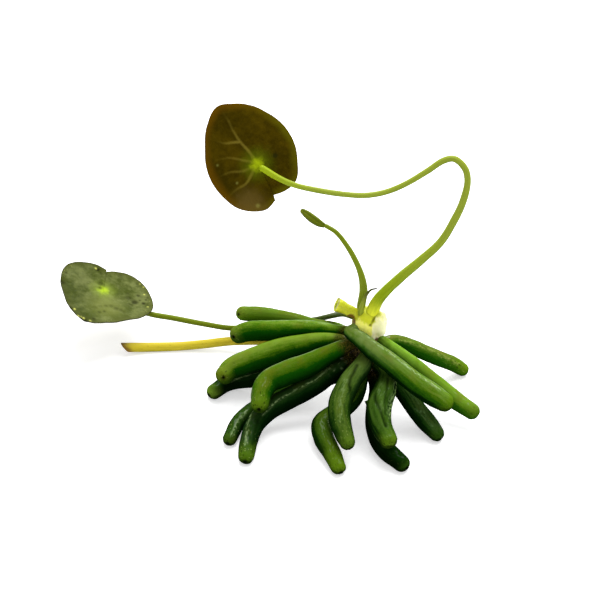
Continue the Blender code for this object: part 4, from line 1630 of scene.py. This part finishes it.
# The left leaf's pale specks as (x, y, radius, strength) and its pits as (x, y, radius, depth, strength)
LEFT_SPECKS = (
    (-3.382, 8.812, 0.2925, 0.9), (-7.690, -13.137, 0.2925, 0.9), (-6.318, -16.043, 0.325, 0.8),
    (-5.392, -15.973, 0.2275, 0.6), (-4.627, -16.311, 0.273, 0.9), (-2.585, -16.834, 0.2925, 0.6),
    (12.476, 1.875, 0.234, 0.95), (14.008, -3.629, 0.208, 0.9), (10.753, 6.564, 0.26, 0.4),
    (11.966, 5.368, 0.247, 0.5),
)
LEFT_PITS = (
    (-2.712, 8.436, 0.6, 0.25, 0.9), (-1.563, 7.018, 0.4, 0.1, 0.45), (-12.029, 2.883, 0.4, 0.1, 0.7),
    (-12.668, -2.098, 0.8, 0.15, 0.7), (-13.369, -1.341, 0.5, 0.1, 0.8), (-9.190, -13.236, 0.7, 0.2, 0.8),
    (-4.308, -17.515, 0.85, 0.25, 0.95), (-3.510, -18.185, 0.6, 0.1, 0.9), (-1.659, -15.483, 0.6, 0.1, 0.6),
    (10.721, 0.837, 0.55, 0.15, 0.6), (9.923, -2.434, 1.0, 0.22, 0.8), (12.572, -2.324, 0.55, 0.15, 0.85),
    (12.604, 6.408, 0.4, 0.1, 0.6), (7.498, 0.943, 0.5, 0.1, 0.35), (4.659, -7.568, 0.8, 0.2, 0.45),
    (-0.255, -11.382, 0.55, 0.15, 0.45), (1.181, -10.420, 0.45, 0.12, 0.5),
    (-1.149, 2.748, 0.85, 0.1, 0.55), (4.340, 8.266, 0.9, 0.1, 0.35), (13.593, 0.690, 0.4, 0.1, 0.5),
    (-1.723, -9.548, 0.7, 0.15, 0.22), (-0.128, -8.425, 0.7, 0.15, 0.25), (1.468, -7.548, 0.7, 0.15, 0.28),
    (3.063, -7.016, 0.7, 0.15, 0.32), (5.935, -8.000, 0.7, 0.15, 0.34), (7.052, -8.790, 0.6, 0.15, 0.28),
    (7.849, -1.086, 0.8, 0.15, 0.5), (8.966, -4.093, 0.6, 0.15, 0.45), (-1.021, 0.730, 0.6, 0.1, 0.6),
    (-6.190, -17.224, 0.5, 0.15, 0.8), (-5.297, -17.610, 0.6, 0.2, 0.9), (-8.424, -14.412, 0.5, 0.1, 0.7),
    (13.210, -0.446, 0.35, 0.1, 0.7), (11.359, -1.177, 0.4, 0.1, 0.6),
)
LEFT_SPOTS = (*(Spot((x, y, 0.0), radius, 0.0, "gold", strength) for x, y, radius, strength in LEFT_SPECKS),
              *(Spot((x, y, 0.0), radius, depth, "pit", strength)
                for x, y, radius, depth, strength in LEFT_PITS))

# What sets single tubers apart: their finish, then their form
# Where the painted shade of a tuber steps from belly to crest as its skin turns up
LEFT_BANDS = (-0.6, 0.0, 0.42, 0.68, 0.95)
FRONT_BANDS = (-0.35, 0.12, 0.42, 0.66, 0.92)
SKINS = {
    "tuber_01": TuberSkin(crest=tint(84, 112, 28), mid=tint(82, 116, 14), flank=tint(70, 106, 16),
                          rust=0.25, pimples=0.5, tip=tint(104, 122, 34),
                          bands=(-1.1, -0.8, -0.35, 0.2, 0.9)),
    "tuber_02": TuberSkin(crest=tint(100, 128, 38), mid=tint(68, 106, 8), flank=tint(14, 72, 3),
                          tip=tint(112, 128, 40), pimples=1.0, rust=0.3, rim_highlight=0.35, shadow=0.0,
                          soil_reach=8.0),
    "tuber_03": TuberSkin(crest=tint(104, 132, 38), mid=tint(72, 108, 10), tip=tint(104, 116, 26),
                          pimples=1.0, rust=0.3, bands=LEFT_BANDS, shadow=0.3, soil_reach=8.5,
                          pimple_reach=12.0, ridge_glint_tone=tint(122, 132, 80)),
    "tuber_04": TuberSkin(crest=tint(78, 106, 20), mid=tint(60, 94, 6), tip=tint(92, 116, 20), pimples=1.0,
                          rust=0.4, bands=(-0.25, 0.15, 0.5, 0.76, 1.02), rim_highlight=0.6, shadow=0.1,
                          soil_reach=8.5, pimple_reach=14.0, ridge_glint_tone=tint(122, 132, 80)),
    "tuber_05": TuberSkin(crest=tint(22, 56, 10), mid=tint(14, 42, 6), flank=tint(5, 22, 3),
                          belly=tint(2, 12, 2), pimples=0.4, tip=tint(104, 136, 38), tip_reach=5.5,
                          rust=0.0, wet=0.3),
    "tuber_06": TuberSkin(crest=tint(40, 70, 16), mid=tint(24, 54, 8), flank=tint(9, 32, 4), shadow=0.8,
                          belly=tint(3, 14, 2), pimples=1.0, tip=tint(66, 92, 20), tip_reach=4.5,
                          pimple_reach=14.0, bands=FRONT_BANDS, rust=0.1),
    "tuber_07": TuberSkin(crest=tint(30, 56, 18), mid=tint(14, 40, 8), flank=tint(4, 24, 3),
                          belly=tint(1, 9, 1), pimples=0.8, tip=tint(76, 108, 18), tip_reach=9.0,
                          pimple_reach=16.0, rust=0.1, bands=FRONT_BANDS, wet=0.3, soil_reach=7.5),
    "tuber_08": TuberSkin(crest=tint(70, 100, 22), mid=tint(50, 82, 12), flank=tint(16, 48, 5),
                          belly=tint(3, 16, 2), pimples=0.5, tip=tint(86, 116, 14), tip_reach=14.0,
                          streak=0.8, pimple_reach=18.0, bands=(-0.25, 0.2, 0.5, 0.74, 0.98), wet=0.4),
    "tuber_09": TuberSkin(crest=tint(74, 98, 30), mid=tint(48, 76, 16), flank=tint(18, 46, 8),
                          belly=tint(3, 16, 3), pimples=0.5, tip=tint(80, 108, 22), pimple_reach=26.0,
                          bloom=0.3, bloom_tone=tint(96, 120, 62), streak=1.0, bands=FRONT_BANDS, wet=0.4),
    "tuber_10": TuberSkin(crest=tint(60, 90, 26), mid=tint(42, 72, 13), flank=tint(14, 40, 6),
                          belly=tint(3, 16, 3), pimples=0.4, tip=tint(88, 118, 20), streak=1.2, rust=0.05,
                          bands=FRONT_BANDS, wet=0.4, ridge_glint_tone=tint(110, 138, 76)),
    "tuber_11": TuberSkin(crest=tint(13, 40, 4), mid=tint(6, 26, 2), flank=tint(3, 16, 1),
                          belly=tint(2, 9, 1), pimples=0.15, tip=tint(42, 74, 16), tip_reach=3.5, rust=0.0,
                          wet=0.15, bands=FRONT_BANDS),
    "tuber_12": TuberSkin(crest=tint(92, 122, 40), mid=tint(72, 106, 12), flank=tint(34, 78, 6), lift=0.1,
                          belly=tint(4, 26, 3), pimples=0.5, tip=tint(88, 118, 16), bloom=0.85, rust=0.4,
                          streak=0.9, bloom_tone=tint(112, 134, 68), rim_highlight=0.4, shadow=0.0, soil=0.0,
                          bands=(0.0, 0.22, 0.46, 0.74, 1.0), ridge_glint_tone=tint(164, 190, 136)),
    "tuber_13": TuberSkin(crest=tint(98, 132, 32), mid=tint(82, 120, 18), flank=tint(40, 88, 8), lift=0.1,
                          belly=tint(8, 40, 4), pimples=0.5, tip=tint(74, 98, 16), rust=0.4, soil=0.3,
                          bloom=0.8, bloom_tone=tint(118, 162, 48), bands=LEFT_BANDS, shadow=0.6),
    "tuber_14": TuberSkin(crest=tint(92, 106, 36), mid=tint(68, 102, 18), flank=tint(26, 80, 5),
                          pimples=0.9, tip=tint(92, 120, 18), tip_reach=13.0, pimple_reach=22.0, rust=0.6,
                          streak=0.7, soil=0.3, bands=(-0.7, -0.2, 0.24, 0.66, 0.95), shadow=0.6,
                          ridge_glint_tone=tint(158, 168, 84)),
    "tuber_15": TuberSkin(crest=tint(58, 86, 34), mid=tint(28, 62, 14), flank=tint(8, 34, 5),
                          belly=tint(3, 12, 3), pimples=0.3, tip=tint(42, 72, 14), streak=1.0, rust=0.1,
                          bands=FRONT_BANDS, wet=0.4, ridge_glint_tone=tint(90, 124, 70)),
}
# Small raised bumps on tuber_07 near the crown, painted pale as glints
ROOT_GLINT_BUMPS = ((-9.6, -6.2, 16.6), (-8.4, -4.9, 17.0), (-7.4, -6.0, 16.9), (-6.4, -4.4, 17.3),
               (-5.4, -5.4, 17.2), (-8.9, -7.6, 15.6), (-11.0, -6.6, 15.8), (-12.2, -7.8, 15.1),
               (-6.6, -7.2, 16.0), (-10.2, -8.6, 14.6))
# Grooves with the crease mask paint shade, in creases and as dark bands along flanks; grooves and spots with
# the pale mask paint highlights as glint lines and dots, on tuber_14 a row of pale pimples.
FORMS: dict[str, dict[str, Any]] = {
    "tuber_01": {"spots": (Spot((-36.73, 20.23, 13.72), 0.52, 0.45, "hollow"),)},
    "tuber_02": {"grooves": (
        Groove(((-24.0, 13.0, 17.2), (-15.6, 9.6, 19.4), (-10.4, 7.1, 20.5)), 0.3, -0.06, 0.7, "pale"),
    ), "spots": (Spot((-38.18, 13.52, 10.56), 0.6, 0.5, "hollow"),)},
    "tuber_03": {"grooves": (
        Groove(((-31.0, 4.9, 14.0), (-35.8, 3.8, 12.9), (-40.4, 1.8, 11.3),
                (-42.0, -0.8, 10.3)), 0.9, 0.0, 0.45, "pale"),
    ), "spots": (Spot((-40.48, -3.6, 9.51), 0.62, 0.5, "hollow"),)},
    "tuber_04": {"grooves": (
        Groove(((-19.0, -4.4, 19.2), (-25.4, -5.3, 17.6), (-30.6, -7.6, 15.4), (-32.7, -11.6, 13.2),
                (-32.9, -15.8, 11.8)), 1.3, 0.0, 0.9, "pale"),
    ), "spots": (Spot((-30.04, -18.88, 10.8), 0.6, 0.5, "hollow"),)},
    "tuber_05": {"grooves": (
        Groove(((-38.6, 0.9, 4.3), (-36.0, 1.3, 5.1), (-33.1, 1.6, 6.2),
                (-30.7, 1.9, 7.0)), 0.22, 0.0, 0.8, "pale"),
    )},
    "tuber_06": {"warts": 0.07, "wrinkles": 0.1, "grooves": (
        Groove(((-33.0, -9.0, 3.9), (-37.4, -13.2, 3.3), (-39.5, -17.0, 2.9),
                (-40.2, -20.6, 2.5)), 0.95, 0.0, 0.8),
        Groove(((-33.9, -12.5, 4.6), (-35.8, -15.8, 4.1), (-37.1, -19.6, 3.7),
                (-37.9, -21.7, 3.4)), 0.45, -0.1, 0.8, "pale"),
    )},
    "tuber_07": {"warts": 0.08, "wrinkles": 0.12, "grooves": (
        Groove(((-10.0, -7.2, 16.0), (-13.7, -9.7, 14.2), (-19.9, -11.4, 11.6), (-25.6, -13.8, 9.1),
                (-29.1, -17.1, 7.2)), 0.3, -0.14, 0.75, "pale"),
        Groove(((-31.9, -14.6, 6.9), (-33.0, -19.1, 6.4), (-33.3, -22.5, 5.7),
                (-33.7, -26.7, 4.6)), 0.4, -0.1, 0.7, "pale"),
        Groove(((-30.3, -18.7, 6.8), (-31.1, -22.3, 5.5), (-31.9, -26.1, 4.4)), 0.5, 0.1, 0.7),
    ), "spots": (*(Spot(at, 0.34, -0.3, "pale", 0.55) for at in ROOT_GLINT_BUMPS),
                  Spot((-33.8, -30.6, 1.6), 0.75, 0.3, "hollow", 0.9))},
    "tuber_08": {"wrinkles": 0.16, "grooves": (
        Groove(((-11.5, -15.8, 5.6), (-14.8, -18.2, 5.6), (-14.7, -22.8, 4.4),
                (-12.2, -28.0, 3.2)), 1.7, 0.0, 0.95),
        Groove(((-11.2, -18.0, 7.8), (-10.3, -20.6, 6.5), (-9.3, -23.5, 5.6),
                (-8.1, -25.9, 4.8)), 0.28, -0.05, 0.7, "pale"),
    )},
    "tuber_09": {"wrinkles": 0.18, "warts": 0.06, "grooves": (
        Groove(((-7.3, -14.2, 15.2), (-10.4, -18.9, 12.6), (-10.4, -23.0, 10.0),
                (-8.7, -27.0, 7.8)), 1.6, 0.0, 1.0),
        Groove(((-1.4, -12.6, 16.4), (-4.0, -18.4, 13.6), (-4.3, -22.6, 11.2),
                (-3.4, -26.2, 9.0)), 1.0, 0.0, 0.7),
        Groove(((-2.6, -10.5, 20.0), (-3.4, -12.7, 19.4), (-4.4, -14.5, 18.7), (-4.8, -16.4, 17.8),
                (-4.3, -17.5, 16.9), (-3.9, -19.6, 15.4)), 0.55, 0.4, 0.9),
        Groove(((-5.7, -15.0, 18.4), (-6.8, -18.2, 16.8), (-7.4, -21.6, 14.9),
                (-7.2, -25.0, 12.5)), 0.55, -0.1, 0.45, "pale"),
        Groove(((-6.3, -21.1, 14.9), (-6.0, -23.4, 13.2), (-5.8, -26.1, 11.2)), 0.2, 0.12, 0.7),
    )},
    "tuber_10": {"ridges": 0.42, "wrinkles": 0.16, "grooves": (
        Groove(((3.4, -9.0, 13.6), (2.0, -14.4, 12.4), (-0.1, -19.2, 11.2),
                (0.9, -24.4, 9.5)), 1.7, 0.0, 1.0),
        Groove(((1.2, -10.5, 16.2), (1.8, -12.9, 16.2), (2.4, -19.2, 14.7), (3.4, -21.5, 13.8),
                (4.5, -24.0, 12.7), (5.3, -26.3, 11.7)), 0.52, 0.55, 0.9),
        Groove(((6.3, -11.5, 16.2), (5.7, -16.5, 15.4), (5.2, -20.0, 14.2),
                (5.4, -22.7, 12.8)), 0.35, 0.35, 0.8),
        Groove(((4.3, -12.8, 15.9), (3.7, -17.7, 15.4), (4.4, -22.0, 13.7)), 0.7, -0.12, 0.35, "pale"),
        Groove(((8.4, -9.6, 14.6), (8.2, -13.6, 13.8), (7.0, -18.8, 12.2),
                (6.6, -22.0, 11.0)), 1.3, -0.08, 1.5, "pale"),
        Groove(((0.2, -18.1, 12.2), (0.5, -22.7, 9.9), (2.0, -26.0, 8.4),
                (3.3, -28.3, 7.4)), 0.28, -0.05, 0.8, "pale"),
    ), "spots": (Spot((0.1, -18.1, 12.9), 0.42, -1.0, "crease", 0.5),
                  Spot((6.7, -31.0, 7.6), 0.5, 0.3, "hollow", 0.7))},
    "tuber_12": {"wrinkles": 0.1, "grooves": (
        Groove(((-3.4, -3.6, 28.0), (0.0, -5.6, 27.2), (3.8, -8.2, 25.4), (8.8, -10.5, 22.4),
                (14.8, -13.0, 18.3), (20.6, -14.7, 14.6)), 0.42, -0.06, 0.9, "pale"),
    )},
    "tuber_14": {"wrinkles": 0.12, "grooves": (
        Groove(((10.3, 3.3, 17.9), (14.8, 5.2, 14.8), (19.4, 6.3, 11.6), (24.0, 7.0, 8.4),
                (27.7, 7.4, 5.4)), 0.5, -0.06, 0.55, "pale"),
    )},
    "tuber_15": {"ridges": 0.22, "wrinkles": 0.14, "grooves": (
        Groove(((9.6, -8.5, 11.2), (12.7, -12.4, 8.7), (14.8, -14.3, 7.4),
                (16.9, -16.8, 5.7)), 0.35, 0.3, 0.8),
        Groove(((13.0, -11.6, 9.9), (14.4, -12.9, 8.7), (15.9, -14.2, 7.6),
                (17.1, -16.6, 6.3)), 0.26, -0.1, 0.8, "pale"),
        Groove(((14.1, -14.7, 7.4), (15.7, -16.2, 6.4), (17.9, -18.0, 5.4),
                (19.1, -19.5, 4.3)), 0.26, -0.08, 0.8, "pale"),
    ), "spots": (Spot((15.7, -15.4, 7.1), 0.26, -0.15, "pale", 1.6),
                  Spot((21.9, -20.9, 1.2), 0.7, 0.3, "hollow"))},
}

# Stalks, the scale and the young leaf, each with its skin
STALKS = (
    (Tube("long_stalk", LONG_STALK, sides=30, spacing=0.4),
     StalkSkin(near=tint(134, 156, 16), far=tint(142, 156, 50), under=tint(84, 102, 8),
               speck_and_shade=tint(92, 104, 22), change=(0.02, 0.35), base=tint(236, 240, 60), base_reach=9.0,
               tip=tint(150, 170, 14), tip_reach=20.0)),
    (Tube("low_stalk", LOW_STALK, sides=26, spacing=0.4),
     StalkSkin(near=tint(66, 84, 4), far=tint(104, 118, 20), under=tint(48, 66, 2), speck_and_shade=tint(60, 72, 10),
               change=(0.25, 0.75), coat=0.04)),
    (Tube("old_stalk", OLD_STALK, End.HOLLOW, 32, 0.35, wall=0.35, bore=1.8, slant=(-1.2, 0.0, 1.0)),
     StalkSkin(near=tint(120, 124, 30), far=tint(196, 178, 46), under=tint(116, 112, 14),
               speck_and_shade=tint(122, 92, 30), flecks=0.55, change=(0.15, 0.6), tip=tint(112, 82, 36),
               tip_reach=2.6)),
    (Tube("bud_stalk", BUD_STALK, sides=28, spacing=0.3),
     StalkSkin(near=tint(124, 140, 32), far=tint(112, 128, 24), under=tint(100, 116, 20),
               speck_and_shade=tint(86, 92, 22), change=(0.2, 0.7), base=tint(206, 212, 62), base_reach=5.5,
               far_side=0.2)),
    (Scale("sheath", SHEATH, End.TAPER),
     StalkSkin(near=tint(150, 164, 50), far=tint(66, 70, 30), under=tint(78, 88, 22),
               speck_and_shade=tint(70, 64, 24), change=(0.3, 0.8), tip=tint(26, 26, 18), tip_reach=2.6)),
    (RolledLeaf("young_leaf", YOUNG_LEAF),
     StalkSkin(near=tint(90, 102, 14), far=tint(98, 108, 18), under=tint(50, 60, 8), speck_and_shade=tint(70, 60, 26),
               change=(0.2, 0.8))),
)

# Leaves, each with the finish of the side that its normal points to, then the other's
LEAVES = (
    (Leaf("upper_leaf", UPPER_RIM, UPPER_LEAF_PLACE, -1.2, UPPER_VEINS, UPPER_SPOTS, vein_height=-0.16,
          lap=-0.32), {
        "under": BladeFace(ground=tint(52, 42, 2), patch=tint(68, 55, 3), margin=tint(88, 84, 8),
                           margin_far=tint(96, 66, 5), vein=tint(128, 114, 40), glow=tint(158, 176, 16),
                           halo=tint(88, 100, 10), halo_reach=6.4, glow_reach=2.6, margin_reach=2.8,
                           lobe=tint(98, 80, 34), lobe_at=(-2.0, -11.0, 0.0), lobe_reach=6.5,
                           vein_strength=0.68, net=0.03, gloss=0.5, sheen=0.0, rim_line=tint(84, 64, 8)),
        "top": BladeFace(ground=tint(70, 84, 30), patch=tint(92, 104, 44), margin=tint(98, 104, 40),
                         margin_far=tint(90, 84, 34), vein=tint(128, 140, 70), glow=tint(170, 190, 60),
                         glow_reach=2.2, vein_strength=0.35, net=0.05, gloss=0.4, sheen=0.03),
    }),
    (Leaf("left_leaf", LEFT_RIM, LEFT_LEAF_PLACE, 0.9, LEFT_VEINS, LEFT_SPOTS, vein_height=0.12,
          lap=0.35), {
        "top": BladeFace(ground=tint(58, 68, 14), patch=tint(98, 105, 56), margin=tint(72, 78, 30),
                         margin_far=tint(58, 64, 18), vein=tint(98, 106, 48), glow=tint(150, 176, 34),
                         halo=tint(112, 128, 46), halo_reach=5.8, glow_reach=2.5, lobe=tint(100, 107, 48),
                         lobe_at=(1.5, -8.0, 0.0), lobe_reach=8.5, margin_reach=2.6, far_shade=0.16,
                         vein_strength=0.3, net=0.03, gloss=0.4, sheen=0.01, pocks=0.8,
                         rim_line=tint(58, 58, 40)),
        "under": BladeFace(ground=tint(74, 62, 18), patch=tint(88, 80, 26), margin=tint(104, 104, 34),
                           margin_far=tint(98, 84, 26), vein=tint(120, 116, 50), glow=tint(120, 132, 30),
                           vein_strength=0.7, net=0.15, gloss=0.5, sheen=0.0),
    }),
)

# The crown's brown stains, and the folds at its mouth, darkened along their lines as painted shade
CROWN_STAINS = (
    Spot((-4.3, -1.2, 29.4), 1.3, 0.1, "stain"), Spot((-3.4, -0.8, 27.6), 1.2, 0.0, "stain", 0.9),
    Spot((3.3, -3.2, 23.2), 0.8, 0.0, "stain", 0.7), Spot((1.3, -3.4, 28.6), 0.45, 0.2, "fold", 0.9),
)
CROWN_FOLDS = (
    Groove(((2.9, -1.4, 30.6), (2.2, -2.2, 30.0), (1.7, -2.7, 29.0), (1.5, -3.1, 28.0)),
           0.42, 0.4, 0.75, "fold"),
    Groove(((-1.2, -2.2, 30.6), (-1.0, -3.0, 29.6), (-0.5, -3.6, 28.6)), 0.35, 0.15, 0.35, "fold"),
    Groove(((0.3, -2.6, 30.6), (0.4, -3.3, 29.4), (0.6, -3.8, 28.2)), 0.3, 0.12, 0.3, "fold"),
)


def build_tubers() -> None:
    """Make the fifteen tubers."""
    for number, (name, points) in enumerate(TUBERS.items(), start=1):
        form = dict(FORMS.get(name, {}))
        if "spots" not in form:
            route = smooth_route(points, 1.0)
            pole = route[-1][0] + (route[-1][0] - route[-2][0]).normalized() * route[-1][1]
            form["spots"] = (Spot(tuple(pole), 0.62, 0.3, "hollow", 0.95),)
        Tuber(name, points, seed=float(number), **form).build(SKINS[name].material(name))


def build_stalks() -> None:
    """Make the leaf stalks, the scale and the rolled young leaf."""
    for stalk, skin in STALKS:
        stalk.build(skin.material(stalk.name))


def build_leaves() -> None:
    """Make the two floating leaves, each with a finish for both sides."""
    for leaf, faces in LEAVES:
        leaf.build(*(face.material(leaf.name + "_" + side) for side, face in faces.items()))


def main() -> None:
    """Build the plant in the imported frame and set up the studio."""
    logging.basicConfig(level=logging.INFO, format="%(name)s: %(message)s")
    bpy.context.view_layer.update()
    Studio().build()
    Crown(CROWN_STAINS, CROWN_FOLDS).build(CrownFlesh().material("crown"))
    build_tubers()
    build_stalks()
    build_leaves()


if __name__ == "__main__":
    main()
